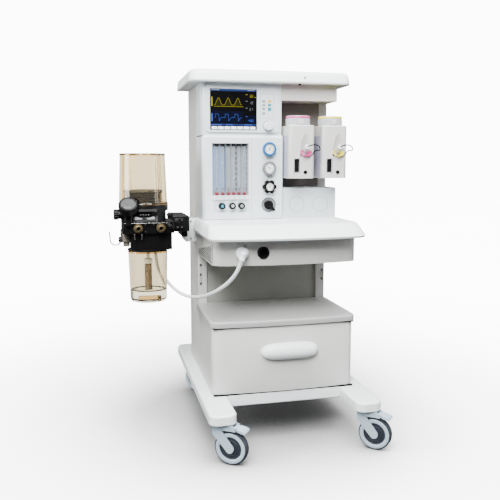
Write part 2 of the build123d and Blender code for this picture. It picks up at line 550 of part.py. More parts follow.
with BuildPart() as bag_lever:
    rod((LEVER_PIVOT[0], -128, LEVER_PIVOT[1]), (0, -1, 0), 7, 8)
    with BuildSketch(Plane.XZ.offset(129)):
        with Locations((LEVER_PIVOT[0] - 30, LEVER_PIVOT[1])):
            SlotOverall(68, 9)
    extrude(amount=5)
    rod((LEVER_PIVOT[0], -128, LEVER_PIVOT[1]), (0, 1, 0), 3 - FIT, 20)
save(bag_lever, "bag_lever")

HOOK_WIRE_R, HOOK_Y = 2.5, -60.0
with BuildPart() as hose_hook:
    with BuildLine() as wire:
        Line((-598, HOOK_Y, 812), (-598, HOOK_Y, 771))
        ThreePointArc((-598, HOOK_Y, 771), (-619, HOOK_Y, 750), (-640, HOOK_Y, 771))
        Line((-640, HOOK_Y, 771), (-642, HOOK_Y, 803))
    with BuildSketch(Plane(origin=(-598, HOOK_Y, 812), z_dir=(0, 0, -1))):
        Circle(HOOK_WIRE_R)
    sweep(path=wire.line)
save(hose_hook, "hose_hook")

with BuildPart() as absorber_bracket:
    box((-396, -330), (-60, 150), (BAR_BOTTOM, 858))
    fillet(absorber_bracket.edges().filter_by(Axis.Z), 8)
    box((-330, -BODY_HALF), (80, 190), (740, 836))
save(absorber_bracket, "absorber_bracket")

# ---- fresh-gas hose: straight runs joined by tangent arcs ----
HOSE_POINTS = [
    HOSE_START, (-196.9, -356, 683.7), (-218, -350, 650), (-248, -330, 618), (-282, -290, 588), (-312, -232, 565),
    (-338, -162, 551), (-362, -88, 546), (-386, -14, 553), (-414, 50, 580), (-440, 86, 622), (-452, 92, 680),
    HOSE_END,
]


def arc_radii(points):
    """Radius at each inner point: 0.45 of the shorter run over the tangent of half the turn."""
    radii = []
    for before, here, after in zip(points, points[1:], points[2:]):
        run_in, run_out = Vector(here) - Vector(before), Vector(after) - Vector(here)
        turn = run_in.get_angle(run_out)
        radii.append(0.45 * min(run_in.length, run_out.length) / tan(radians(turn / 2)))
    return radii


HOSE_RADII = arc_radii(HOSE_POINTS)
print("hose radii", [round(r) for r in HOSE_RADII])
with BuildPart() as fresh_gas_hose:
    with BuildLine() as route:
        FilletPolyline(*HOSE_POINTS, radius=HOSE_RADII)
    with BuildSketch(Plane(origin=HOSE_START, z_dir=ELBOW_AXIS)):
        Circle(HOSE_R)
    sweep(path=route.line)
hose_length = sum(edge.length for edge in route.edges())
print("hose length", round(hose_length), "volume over section times length",
      round(fresh_gas_hose.part.volume / (pi * HOSE_R**2 * hose_length), 4))
save(fresh_gas_hose, "fresh_gas_hose")
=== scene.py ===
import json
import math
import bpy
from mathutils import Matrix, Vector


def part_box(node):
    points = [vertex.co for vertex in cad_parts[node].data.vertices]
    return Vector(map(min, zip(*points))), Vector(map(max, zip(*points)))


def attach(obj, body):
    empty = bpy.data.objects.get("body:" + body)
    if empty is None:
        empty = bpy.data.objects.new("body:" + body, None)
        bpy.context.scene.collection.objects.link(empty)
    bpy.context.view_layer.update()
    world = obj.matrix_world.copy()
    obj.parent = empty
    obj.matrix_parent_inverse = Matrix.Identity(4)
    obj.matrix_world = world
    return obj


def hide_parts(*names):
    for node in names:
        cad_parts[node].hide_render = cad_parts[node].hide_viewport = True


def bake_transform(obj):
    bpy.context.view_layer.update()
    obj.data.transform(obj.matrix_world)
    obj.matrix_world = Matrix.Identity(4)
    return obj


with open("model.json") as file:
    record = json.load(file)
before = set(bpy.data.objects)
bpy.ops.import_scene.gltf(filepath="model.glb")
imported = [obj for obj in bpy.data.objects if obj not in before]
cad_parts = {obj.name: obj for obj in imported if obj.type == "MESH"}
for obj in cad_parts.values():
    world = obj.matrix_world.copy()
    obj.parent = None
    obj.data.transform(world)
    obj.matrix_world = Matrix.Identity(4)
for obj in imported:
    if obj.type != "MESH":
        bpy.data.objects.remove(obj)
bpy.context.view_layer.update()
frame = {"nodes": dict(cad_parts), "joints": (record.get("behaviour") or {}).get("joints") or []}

# %% [markdown]
# # An anesthesia machine on its trolley
# The frame that was just loaded holds every rigid part at its real place and size. This lesson adds what a
# customer would see: the moulded covers with soft edges, the clear amber absorber, the glass flow tubes, the
# screen, the gauges, the tyres and one clear hose. Each new piece rides on the rigid body that it belongs to,
# so it follows when a drawer opens or a caster swivels.

# %% Imports and small measuring helpers
from types import SimpleNamespace

import bmesh
import bpy
from mathutils import Matrix, Vector

MM = 0.001
UP, RIGHT, FORWARD = Vector((0, 0, 1)), Vector((1, 0, 0)), Vector((0, -1, 0))


def span(node):
    """Limits and middle of a rigid part, in metres."""
    low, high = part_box(node)
    middle = (low + high) / 2
    return SimpleNamespace(x0=low.x, x1=high.x, y0=low.y, y1=high.y, z0=low.z, z1=high.z,
                           cx=middle.x, cy=middle.y, cz=middle.z)


def joint(name):
    """The rigid model's record of one joint."""
    return next(j for j in frame["joints"] if j["name"] == name)


column = span("post_left"), span("post_right")
CENTRE_X = (column[0].x0 + column[1].x1) / 2
COLUMN_FRONT = column[0].y0

# %% [markdown]
# ## The camera and the light
# The machine is seen from a little left of its front, from just below chest height, with a normal lens. The
# camera stands on the trolley's own measurements: so far left of the column, so far in front of it. A large soft
# source on each side and a pale surround give the even light of a product studio, so the white covers keep
# their shading and the shadow under the trolley stays soft.

# %% Camera
EYE_LEFT, EYE_FRONT, EYE_HEIGHT = 0.6855, 2.655, 1.07
TURN_RIGHT, TILT_DOWN = math.radians(13.34), math.radians(7.77)
camera = bpy.data.objects.new("camera", bpy.data.cameras.new("camera"))
camera.location = (CENTRE_X - EYE_LEFT, COLUMN_FRONT - EYE_FRONT, EYE_HEIGHT)
camera.rotation_euler = (math.pi / 2 - TILT_DOWN, 0, -TURN_RIGHT)
camera.data.lens, camera.data.sensor_width = 46.44, 36
bpy.context.scene.collection.objects.link(camera)
bpy.context.scene.camera = camera
print("camera at", [round(v, 3) for v in camera.location])

# %% Studio light
world = bpy.data.worlds.new("studio")
bpy.context.scene.world = world
world.use_nodes = True
nodes, links = world.node_tree.nodes, world.node_tree.links
sky_place, height, sky = (nodes.new(f"ShaderNode{kind}") for kind in ("TexCoord", "SeparateXYZ", "ValToRGB"))
links.new(sky_place.outputs["Generated"], height.inputs["Vector"])
links.new(height.outputs["Z"], sky.inputs["Fac"])
sky.color_ramp.elements[0].position, sky.color_ramp.elements[0].color = 0.0, (0.20, 0.20, 0.205, 1)
sky.color_ramp.elements[1].position, sky.color_ramp.elements[1].color = 0.55, (1, 1, 1, 1)
links.new(sky.outputs["Color"], nodes["Background"].inputs["Color"])
nodes["Background"].inputs["Strength"].default_value = 0.8


def softbox(name, place, target, size, power):
    """A square area light that looks at a point of the machine."""
    lamp = bpy.data.objects.new(name, bpy.data.lights.new(name, "AREA"))
    lamp.data.size, lamp.data.energy = size, power
    lamp.location = place
    lamp.rotation_euler = (Vector(target) - Vector(place)).to_track_quat("-Z", "Y").to_euler()
    bpy.context.scene.collection.objects.link(lamp)
    return lamp


MIDDLE = (CENTRE_X, 0, 0.8)
softbox("key_light", (-1.2, -2.9, 3.1), MIDDLE, 1.6, 390)
softbox("fill_light", (3.2, -1.6, 1.5), MIDDLE, 1.6, 40)
softbox("side_light", (-3.6, -0.2, 1.6), MIDDLE, 1.6, 150)
softbox("top_light", (CENTRE_X, -1.1, 3.6), (CENTRE_X, -0.3, 0.8), 2.0, 300)

# %% [markdown]
# ## Finishes
# Real covers aren't one flat colour. Powder coat has a fine orange-peel grain, moulded plastic is smoother with
# a faint unevenness in its gloss, rubber is matt and dusty. One function builds them all: a broad noise moves
# the colour a little, a second one moves the roughness, and a fine one feeds a bump. The coordinates are the
# object's own, so the grain has a real size in millimetres.

# %% A function for painted and moulded finishes
def finish(name, colour, roughness, mottle=0.02, grain=1.5, depth=0.06, wear=0.05, **fixed):
    """A finish with slow colour change, uneven gloss and a fine grain, the grain's size in millimetres."""
    material = bpy.data.materials.new(name)
    material.use_nodes = True
    material.diffuse_color = (*colour, 1)
    nodes, links = material.node_tree.nodes, material.node_tree.links
    shader = nodes["Principled BSDF"]
    place = nodes.new("ShaderNodeTexCoord")

    def noise(scale, detail):
        texture = nodes.new("ShaderNodeTexNoise")
        texture.inputs["Scale"].default_value = scale
        texture.inputs["Detail"].default_value = detail
        links.new(place.outputs["Object"], texture.inputs["Vector"])
        return texture.outputs["Fac"]

    tint = nodes.new("ShaderNodeValToRGB")
    tint.color_ramp.elements[0].position, tint.color_ramp.elements[1].position = 0.3, 0.7
    tint.color_ramp.elements[0].color = (*[c * (1 - mottle) for c in colour], 1)
    tint.color_ramp.elements[1].color = (*[min(1, c * (1 + mottle)) for c in colour], 1)
    links.new(noise(9, 4), tint.inputs["Fac"])
    links.new(tint.outputs["Color"], shader.inputs["Base Color"])
    gloss = nodes.new("ShaderNodeMapRange")
    gloss.inputs["To Min"].default_value = max(0.02, roughness - wear)
    gloss.inputs["To Max"].default_value = min(1, roughness + wear)
    links.new(noise(30, 3), gloss.inputs["Value"])
    links.new(gloss.outputs["Result"], shader.inputs["Roughness"])
    bump = nodes.new("ShaderNodeBump")
    bump.inputs["Strength"].default_value = depth
    bump.inputs["Distance"].default_value = 0.0003
    links.new(noise(1000 / grain, 2), bump.inputs["Height"])
    links.new(bump.outputs["Normal"], shader.inputs["Normal"])
    for socket, value in fixed.items():
        shader.inputs[socket.replace("_", " ")].default_value = value
    return material


# %% The machine's finishes
moulded_white = finish("moulded_white", (0.74, 0.775, 0.785), 0.36, 0.012, 2.5, 0.05)
cover_white = finish("cover_white", (0.56, 0.61, 0.63), 0.42, 0.012, 1.2, 0.10)
warm_grey = finish("warm_grey_paint", (0.46, 0.46, 0.445), 0.45, 0.015, 1.2, 0.12)
drawer_paint = finish("drawer_paint", (0.54, 0.545, 0.525), 0.42, 0.012, 1.2, 0.12)
# The recess grey is the panels' own grey, darkened with painted shade for the deep recesses it lines.
recess_grey_painted_shade = finish("recess_grey_painted_shade", (0.25, 0.255, 0.235), 0.5, 0.03, 1.2, 0.12)
# The bay's dark brown-grey is partly the back panel's own colour and partly painted shade of the deep recess.
bay_painted_shade = finish("bay_painted_shade_grey", (0.11, 0.10, 0.092), 0.5, 0.04, 1.2, 0.12)
caster_grey = finish("caster_grey_plastic", (0.33, 0.42, 0.48), 0.5, 0.03, 0.8, 0.2)
hub_grey = finish("hub_dark_grey", (0.016, 0.020, 0.027), 0.5, 0.08, 0.8, 0.2, Specular_IOR_Level=0.35)
tyre_rubber = finish("tyre_rubber", (0.022, 0.027, 0.036), 0.7, 0.15, 1.0, 0.35, Specular_IOR_Level=0.35)
black_plastic = finish("black_plastic", (0.002, 0.002, 0.0021), 0.42, 0.1, 0.9, 0.15, Specular_IOR_Level=0.15)
black_anodised = finish("black_anodised", (0.0015, 0.0015, 0.0015), 0.38, 0.15, 0.7, 0.2, Specular_IOR_Level=0.14)
bellows_rubber = finish("bellows_rubber", (0.0015, 0.0015, 0.0015), 0.5, 0.1, 1.0, 0.2, Specular_IOR_Level=0.2)
grey_plastic = finish("grey_plastic", (0.20, 0.21, 0.22), 0.45, 0.03, 1.0, 0.15)
lilac_grey = finish("lilac_grey_panel", (0.30, 0.30, 0.38), 0.45, 0.02, 1.0, 0.12)
vaporizer_enamel = finish("vaporizer_enamel", (0.50, 0.488, 0.475), 0.3, 0.012, 2.0, 0.05, Coat_Weight=0.3)
pink_plastic = finish("pink_plastic", (0.46, 0.014, 0.18), 0.35, 0.04)
yellow_plastic = finish("yellow_plastic", (0.60, 0.51, 0.001), 0.35, 0.04)
blue_plastic = finish("blue_plastic", (0.003, 0.08, 0.24), 0.35, 0.04)
teal_key = finish("teal_key", (0.004, 0.20, 0.28), 0.45)
amber_key = finish("amber_key", (0.60, 0.33, 0.004), 0.45)
red_base = finish("red_tube_foot", (0.12, 0.001, 0.014), 0.35)
steel = finish("bright_steel", (0.36, 0.36, 0.355), 0.24, 0.02, 0.6, 0.08, Metallic=1.0)
satin_metal = finish("satin_label_metal", (0.25, 0.26, 0.27), 0.4, 0.25, 0.6, 0.15, Metallic=0.6)
port_brass = finish("port_brass", (0.16, 0.125, 0.065), 0.33, 0.06, 0.8, 0.1, Metallic=0.9)
dial_white = finish("dial_white", (0.66, 0.67, 0.67), 0.5)
dial_grey = finish("dial_grey", (0.27, 0.285, 0.295), 0.5, 0.03)
cap_grey = finish("cap_grey", (0.44, 0.46, 0.47), 0.45, 0.03)
# The cabinet shelf's grey is its own warm grey darkened with painted shade, for the shadow the worktop casts on it.
shelf_grey_painted_shade = finish("shelf_grey_painted_shade", (0.33, 0.335, 0.325), 0.45, 0.012, 1.2, 0.12)
dark_steel = finish("dark_steel", (0.09, 0.09, 0.092), 0.3, 0.05, 0.6, 0.1, Metallic=0.7)
ring_grey = finish("ring_grey", (0.40, 0.44, 0.46), 0.45, 0.02)
panel_line = finish("panel_line_grey", (0.22, 0.24, 0.25), 0.5, 0.02)
grey_dial = finish("gauge_grey_rim", (0.17, 0.18, 0.19), 0.35, 0.03, 1.0, 0.1, Metallic=0.3)
bracket_grey = finish("bracket_grey", (0.30, 0.31, 0.30), 0.42, 0.03, 1.0, 0.15)
print(len(bpy.data.materials), "materials so far")

# %% [markdown]
# ## See-through finishes and the lit screen
# The dome and the canister are clear amber plastic with walls a few millimetres thick. Light has to go through
# them and be tinted, or the black bellows inside would look milky, so they use real transmission: each wall takes
# a little blue away. Thin glass tubes only need a constant alpha. Thicker edges and ribs are real geometry, and
# they darken by themselves.

# %% Clear plastics, glass and screen colours
def clear(name, colour, alpha, roughness=0.06):
    """Thin clear plastic or glass, as share alpha of its colour at each wall."""
    material = finish(name, colour, roughness, 0.02, 3.0, 0.02, 0.02)
    material.node_tree.nodes["Principled BSDF"].inputs["Alpha"].default_value = alpha
    return material


def tinted(name, colour, roughness=0.03):
    """Thick clear plastic that light goes through and takes its colour from."""
    return finish(name, colour, roughness, 0.01, 3.0, 0.01, 0.01, Transmission_Weight=1.0, IOR=1.40)


def lit(name, colour, strength):
    """A screen colour that shines by itself."""
    material = finish(name, tuple(c * 0.02 for c in colour), 0.3, 0.01, Specular_IOR_Level=0.15)
    shader = material.node_tree.nodes["Principled BSDF"]
    shader.inputs["Emission Color"].default_value = (*colour, 1)
    shader.inputs["Emission Strength"].default_value = strength
    return material


amber_wall = tinted("amber_wall", (0.88, 0.80, 0.60))
amber_cup = tinted("amber_cup", (0.78, 0.71, 0.56))
amber_edge = tinted("amber_edge", (0.62, 0.42, 0.18))
clear_glass = clear("clear_glass", (0.36, 0.39, 0.42), 0.14, 0.05)
clear_hose = clear("clear_hose", (0.62, 0.65, 0.64), 0.72, 0.25)
trap_clear = clear("trap_clear", (0.20, 0.175, 0.14), 0.8, 0.2)
screen_black = lit("screen_black", (0.002, 0.002, 0.006), 0.2)
screen_navy = lit("screen_navy", (0.001, 0.003, 0.022), 1.0)
screen_bar = lit("screen_bar", (0.04, 0.08, 0.30), 0.8)
screen_yellow = lit("screen_yellow", (0.62, 0.56, 0.02), 0.9)
screen_blue = lit("screen_blue", (0.08, 0.18, 0.80), 1.0)
screen_olive = lit("screen_olive", (0.05, 0.045, 0.004), 0.6)
screen_grey = lit("screen_grey", (0.40, 0.46, 0.52), 0.8)
print("clear and lit finishes made")

# %% [markdown]
# ## Tools for making meshes
# Most pieces are turned, cut from a plate or moulded. A pile gathers such shapes into one mesh, so a gauge's
# forty ticks are one piece and not forty. Sharp corners catch no light, so each pile can be given a rounding,
# which is a bevel modifier that leaves the shape's own vertices alone.

# %% A pile of simple shapes
class Pile:
    """Gathers shapes into one mesh, and makes one piece of them."""

    def __init__(self):
        self.mesh = bmesh.new()

    def loops(self, loops, close=True):
        """Skin a row of equal closed loops, and cap both ends."""
        rings = [[self.mesh.verts.new(p) for p in loop] for loop in loops]
        count = len(rings[0])
        for lower, upper in zip(rings, rings[1:]):
            for i in range(count):
                j = (i + 1) % count
                self.mesh.faces.new((lower[i], lower[j], upper[j], upper[i]))
        if close:
            self.mesh.faces.new(rings[0][::-1])
            self.mesh.faces.new(rings[-1])
        return self

    def block(self, low, high):
        """A box between two corners."""
        (x0, y0, z0), (x1, y1, z1) = low, high
        base = [(x0, y0), (x1, y0), (x1, y1), (x0, y1)]
        return self.loops([[(x, y, z) for x, y in base] for z in (z0, z1)])

    def plate(self, outline, origin, across, upward, depth):
        """A flat outline of (across, up) points, made thick along across x upward."""
        across, upward, origin = Vector(across), Vector(upward), Vector(origin)
        outward = across.cross(upward).normalized() * depth
        near = [origin + across * u + upward * v for u, v in outline]
        return self.loops([near, [p + outward for p in near]])

    def turned(self, profile, centre, axis, steps=56, start=0.0, sweep=math.tau):
        """A surface turned about an axis from (radius, height) points."""
        centre, axis = Vector(centre), Vector(axis).normalized()
        side = axis.orthogonal().normalized()
        other = axis.cross(side)
        rings = []
        for radius, height in profile:
            middle = centre + axis * height
            if radius < 1e-7:
                rings.append([self.mesh.verts.new(middle)])
                continue
            ring = []
            for i in range(steps):
                angle = start + sweep * i / steps
                ring.append(self.mesh.verts.new(middle + (side * math.cos(angle) + other * math.sin(angle)) * radius))
            rings.append(ring)
        for lower, upper in zip(rings, rings[1:]):
            for i in range(steps):
                j = (i + 1) % steps
                corners = [lower[i % len(lower)], lower[j % len(lower)], upper[j % len(upper)], upper[i % len(upper)]]
                corners = list(dict.fromkeys(corners))
                if len(corners) > 2:
                    self.mesh.faces.new(corners)
        return self

    def make(self, name, body, material, slot=None, rounding=0.0, angle=38, replaces=()):
        """Turn the pile into a piece that rides on a body, or on none when no body is given."""
        bmesh.ops.recalc_face_normals(self.mesh, faces=self.mesh.faces)
        data = bpy.data.meshes.new(name)
        self.mesh.to_mesh(data)
        self.mesh.free()
        data.shade_smooth()
        data.set_sharp_from_angle(angle=math.radians(angle))
        piece = bpy.data.objects.new(name, data)
        bpy.context.scene.collection.objects.link(piece)
        data.materials.append(material)
        if rounding:
            soften(piece, rounding)
        if body:
            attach(piece, body)
        if replaces:
            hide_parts(*replaces)
        return piece


def soften(piece, width, angle=38):
    """Round a piece's sharp edges without touching its own mesh."""
    weld = piece.modifiers.new("weld", "WELD")
    weld.merge_threshold = 1e-5
    bevel = piece.modifiers.new("rounding", "BEVEL")
    bevel.width, bevel.segments, bevel.limit_method = width, 3, "ANGLE"
    bevel.angle_limit = math.radians(angle)
    bevel.harden_normals = False
    return piece


def rounded_rectangle(x0, x1, z0, z1, radius, steps=6):
    """Outline of a rectangle with round corners, as (across, up) points."""
    points = []
    for cx, cz, first in ((x1 - radius, z0 + radius, -90), (x1 - radius, z1 - radius, 0),
                          (x0 + radius, z1 - radius, 90), (x0 + radius, z0 + radius, 180)):
        for i in range(steps + 1):
            a = math.radians(first + 90 * i / steps)
            points.append((cx + radius * math.cos(a), cz + radius * math.sin(a)))
    return points


def rect(x0, x1, z0, z1):
    """Outline of a sharp rectangle, as (across, up) points."""
    return [(x0, z0), (x1, z0), (x1, z1), (x0, z1)]


def bars(pile, x0, x1, z0, z1, width, origin, depth):
    """Four thin bars just inside a rectangle's edge, as a frame or a printed outline."""
    for outline in (rect(x0, x1, z0, z0 + width), rect(x0, x1, z1 - width, z1),
                    rect(x0, x0 + width, z0, z1), rect(x1 - width, x1, z0, z1)):
        pile.plate(outline, origin, RIGHT, UP, depth)
    return pile


def strip(points, width):
    """A thin ribbon's outline along a row of (across, up) points."""
    left, right = [], []
    for i, (u, v) in enumerate(points):
        before, after = points[max(0, i - 1)], points[min(len(points) - 1, i + 1)]
        run = Vector((after[0] - before[0], after[1] - before[1])).normalized()
        left.append((u - run.y * width / 2, v + run.x * width / 2))
        right.append((u + run.y * width / 2, v - run.x * width / 2))
    return right + left[::-1]


def traced(points, width):
    """A sharp polyline, as one short ribbon for each of its segments."""
    return [strip(ends, width) for ends in zip(points, points[1:])]


print("mesh tools ready")

# %% [markdown]
# ## Rigid parts that keep their own shape
# The legs, posts, covers, forks, knobs and vaporizer bodies already have the right shape, so they only need a
# finish and softer edges. Their meshes stay as they are.

# %% Finishes for the rigid parts
def dress(names, material, rounding=0.0):
    """Give rigid parts a finish and, where wanted, softened edges."""
    for name in names:
        part = frame["nodes"][name]
        part.data.materials.clear()
        part.data.materials.append(material)
        if rounding:
            soften(part, rounding)


corners = ["front_left", "front_right", "rear_left", "rear_right"]
dress(["leg_left", "leg_right"], moulded_white)
dress(["base_frame"], moulded_white, 0.002)
dress(["cabinet_shell", "post_left", "post_right", "header_panel"], warm_grey, 0.0015)
dress(["outlet_box"], warm_grey, 0.003)
dress(["drawer_front"], drawer_paint, 0.004)
# Tray and back panels take the recess grey, which holds painted shade.
dress(["drawer_tray", "back_panels"], recess_grey_painted_shade)
dress(["rear_cover"], warm_grey, 0.001)
dress(["drawer_runners", "bag_lever"], steel)
dress(["hose_hook"], dark_steel)
dress(["monitor_housing", "flow_panel", "lower_panel"], cover_white, 0.0025)
dress(["vaporizer_body_1", "vaporizer_body_2"], vaporizer_enamel, 0.0015)
dress(["vaporizer_bar"], grey_plastic, 0.001)
dress(["encoder_knob"], moulded_white, 0.001)
dress(["vaporizer_dial_1", "vaporizer_dial_2", "filler_cap_1", "filler_cap_2"], cap_grey, 0.001)
dress(["flow_knob_1", "flow_knob_2", "flow_knob_3", "relief_knob", "round_socket"], black_plastic, 0.0004)
dress(["regulator_knob", "selector_switch"], black_plastic, 0.0015)
dress(["bellows_plate"], black_plastic, 0.001)
dress(["breathing_ports"], port_brass, 0.0008)
dress([f"caster_fork_{c}" for c in corners], caster_grey, 0.0015)
dress(["brake_pedal_front_left", "brake_pedal_front_right"], caster_grey, 0.0015)
print("rigid parts dressed")

# %% [markdown]
# ## The fresh-gas hose
# A clear flexible tube carries fresh gas from the outlet under the worktop, round below the canister, and up
# into the block behind it. It's seen from end to end, 0.74 m of it. A smooth NURBS curve with a round section
# follows the same route as the rigid model's tube. Both ends go into their sockets, so no end is cut off.

# %% Hose on its route
HOSE_RADIUS = 0.007
HOSE_ROUTE = [(-0.04525, -0.3247, 0.71751), (-0.0576, -0.3247, 0.6837), (-0.0787, -0.3187, 0.650),
              (-0.1087, -0.2987, 0.618), (-0.1427, -0.2587, 0.588), (-0.1727, -0.2007, 0.565),
              (-0.1987, -0.1307, 0.551), (-0.2227, -0.0567, 0.546), (-0.2467, 0.0173, 0.553),
              (-0.2747, 0.0813, 0.580), (-0.3007, 0.1173, 0.622), (-0.3127, 0.1233, 0.680),
              (-0.3127, 0.1233, 0.742)]


def wire(name, points, radius, material, body):
    """A smooth round tube or wire through a row of control points."""
    data = bpy.data.curves.new(name, "CURVE")
    data.dimensions = "3D"
    spline = data.splines.new("NURBS")
    spline.points.add(len(points) - 1)
    for control, place in zip(spline.points, points):
        control.co = (*place, 1)
    spline.order_u, spline.use_endpoint_u = 3, True
    data.bevel_depth, data.bevel_resolution, data.resolution_u, data.use_fill_caps = radius, 6, 12, True
    data.materials.append(material)
    piece = bpy.data.objects.new(name, data)
    bpy.context.scene.collection.objects.link(piece)
    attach(piece, body)
    return piece


hose = wire("fresh_gas_hose_tube", HOSE_ROUTE, HOSE_RADIUS, clear_hose, "trolley")
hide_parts("fresh_gas_hose")
print("hose of", len(HOSE_ROUTE), "control points")

# %% [markdown]
# ## Casters
# Each caster has a dark rubber tyre with a crowned tread, a pale plastic ring that holds it, and a dark hub with
# steps that catch the light. All three are turned shapes, so each is a profile swept round the axle. The axle's
# place and direction come from the joint that the wheel rolls on.

# %% Tyre, ring and hub of each caster
TYRE = [(45, -11), (49, -13), (54, -15), (59, -14), (61.8, -10), (62.5, -5), (62.5, 5), (61.8, 10), (59, 14),
        (54, 15), (49, 13), (45, 11), (45, -11)]
RING = [(56, 12), (56, 15.4), (54.5, 16.4), (44, 16.4), (42, 15), (41.5, 9), (56, 12)]
HUB = [(0, 9), (42, 9), (42, 11.5), (39.5, 12.5), (38, 11), (30, 11), (29, 13.5), (26.5, 14.2), (24, 12.5),
       (17, 12.5), (16, 15.6), (8, 15.8), (7, 14), (0, 14)]


def scaled(profile, side=1):
    """A turned profile in metres, mirrored for the far side."""
    return [(r * MM, h * side * MM) for r, h in profile]


for corner in corners:
    axle = joint(f"roll_{corner}")
    centre, axis, body = axle["pos_m"], axle["axis"], f"wheel_{corner}"
    tyre = Pile().turned(scaled(TYRE), centre, axis, 72)
    tyre.make(f"tyre_{corner}", body, tyre_rubber, "caster_wheel", replaces=[f"caster_wheel_{corner}"])
    ring, hub = Pile(), Pile()
    for side in (-1, 1):
        ring.turned(scaled(RING, side), centre, axis, 72)
        hub.turned(scaled(HUB, side), centre, axis, 72)
    ring.make(f"wheel_ring_{corner}", body, caster_grey, "caster_grey")
    hub.make(f"wheel_hub_{corner}", body, hub_grey, "caster_wheel")
print("four casters turned")

# %% [markdown]
# ## The monitor
# The screen is a black glass plate with lit shapes a fraction of a millimetre in front of it: bars, a pressure
# curve, a flow curve and number blocks. They are thin plates and not a picture, so they stay sharp at any
# distance. Under it is a row of white soft keys, and beside it six rubber keys in a thin frame.

# %% Screen glass and its lit shapes
screen = span("display_panel")
SCREEN_WIDTH, SCREEN_HEIGHT, GLASS = 0.188, 0.157, 0.002
KEYPAD_X, KEYPAD_Z = (screen.x1 - 0.056, screen.x1), (1.240, 1.338)
glass = Pile()
glass.plate(rounded_rectangle(0, SCREEN_WIDTH, 0, SCREEN_HEIGHT, 0.003), (screen.x0, screen.y1, screen.z0),
            RIGHT, UP, GLASS)
glass.make("screen_glass", "trolley", screen_black, "display", 0.0005, replaces=["display_panel"])


def on_screen(points):
    """Points from 0 to 1 across and up the screen, in metres."""
    return [(u * SCREEN_WIDTH, v * SCREEN_HEIGHT) for u, v in points]


def show(name, shapes, material, level):
    """Lit shapes, each an outline on the screen, at a level in front of the glass."""
    pile = Pile()
    for outline in shapes:
        pile.plate(outline, (screen.x0, screen.y1 - GLASS - level * 0.0001, screen.z0), RIGHT, UP, 0.0001)
    return pile.make(name, "trolley", material, "display")


def patch(u0, v0, u1, v1):
    return on_screen([(u0, v0), (u1, v0), (u1, v1), (u0, v1)])


def number(text, u, v, height):
    """Seven-segment figures at a place on the screen."""
    segments = {"a": ((0, 1), (1, 1)), "b": ((1, 1), (1, .5)), "c": ((1, .5), (1, 0)), "d": ((1, 0), (0, 0)),
                "e": ((0, 0), (0, .5)), "f": ((0, .5), (0, 1)), "g": ((0, .5), (1, .5))}
    figures = {"0": "abcdef", "1": "bc", "2": "abged", "3": "abgcd", "4": "fgbc", "5": "afgcd", "6": "afgedc",
               "7": "abc", "8": "abcdefg", "9": "abcdfg"}
    shapes = []
    for place, figure in enumerate(text):
        left = u + place * height * 0.72
        for key in figures[figure]:
            ends = [(left + p * height * 0.42, v + q * height) for p, q in segments[key]]
            shapes.append(strip(on_screen(ends), height * 0.018))
    return shapes


def waves(low, high, shape, first=0.085, last=0.70, count=3):
    """Three breaths of a curve between two levels of the screen."""
    pitch = (last - first) / count
    return [(first + pitch * (breath + u), low + (high - low) * v) for breath in range(count) for u, v in shape]


PRESSURE = waves(0.60, 0.78, [(0.0, 0.0), (0.12, 0.1), (0.40, 0.95), (0.47, 1.0), (0.55, 0.9), (0.72, 0.25),
                              (0.85, 0.05)])
FILL = [(0.085, 0.575)] + PRESSURE + [(0.70, 0.575)]
FLOW = waves(0.20, 0.40, [(0.0, 0.5), (0.14, 0.5), (0.15, 0.95), (0.45, 0.88), (0.50, 0.55), (0.52, 0.05),
                          (0.66, 0.38), (0.85, 0.5)])
show("screen_bars", [patch(0, 0.945, 1, 1), patch(0, 0.10, 1, 0.145)], screen_bar, 1)
show("screen_lower_field", [patch(0.015, 0.165, 0.715, 0.46), patch(0.745, 0.165, 0.985, 0.36)], screen_navy, 1)
show("screen_pressure_fill", [on_screen(FILL)[::-1]], screen_olive, 1)
show("screen_yellow_shapes",
     [patch(0.025, 0.575, 0.055, 0.80), strip(on_screen([(0.085, 0.568), (0.71, 0.568)]), 0.0012),
      patch(0.755, 0.86, 0.80, 0.873), patch(0.94, 0.80, 0.975, 0.812)]
     + traced(on_screen(PRESSURE), 0.0011) + number("32", 0.845, 0.80, 0.060), screen_yellow, 2)
show("screen_blue_shapes",
     [patch(0.025, 0.20, 0.055, 0.40), patch(0.755, 0.32, 0.80, 0.332),
      patch(0.02, 0.113, 0.26, 0.132), patch(0.34, 0.113, 0.48, 0.132), patch(0.72, 0.113, 0.90, 0.132)]
     + traced(on_screen(FLOW), 0.0011) + number("480", 0.82, 0.20, 0.055), screen_blue, 2)
show("screen_grey_shapes",
     [patch(0.03, 0.963, 0.20, 0.982), patch(0.80, 0.963, 0.95, 0.982), patch(0.755, 0.70, 0.80, 0.712),
      patch(0.755, 0.53, 0.80, 0.542)] + number("12", 0.845, 0.64, 0.058) + number("21", 0.845, 0.48, 0.055),
     screen_grey, 2)
print("screen shapes lit")

# %% Soft keys, keypad and encoder ring
keys = Pile()
for index in range(7):
    left = 0.006 + index * 0.0256
    keys.plate(rounded_rectangle(left, left + 0.0222, 0.0015, 0.0125, 0.002),
               (screen.x0, screen.y1 - GLASS, screen.z0), RIGHT, UP, 0.0012)
keys.make("soft_keys", "trolley", moulded_white, "white_moulding", 0.0004)
pad = Pile()
pad.plate(rounded_rectangle(0, 0.056, 0, 0.098, 0.004), (KEYPAD_X[0], screen.y1, KEYPAD_Z[0]), RIGHT, UP, 0.0008)
pad.make("keypad_field", "trolley", cover_white, "light_grey_panel", 0.0003)
outline = bars(Pile(), 0, 0.056, 0, 0.098, 0.0012, (KEYPAD_X[0], screen.y1 - 0.0008, KEYPAD_Z[0]), 0.0004)
outline.make("keypad_frame", "trolley", panel_line, "grey_metal")
KEY_COLOURS = {"grey": grey_plastic, "amber": amber_key, "teal": teal_key}
key_piles = {shade: Pile() for shade in KEY_COLOURS}
KEY_ROWS = (0.0635, 0.0490, 0.0345, 0.0160)
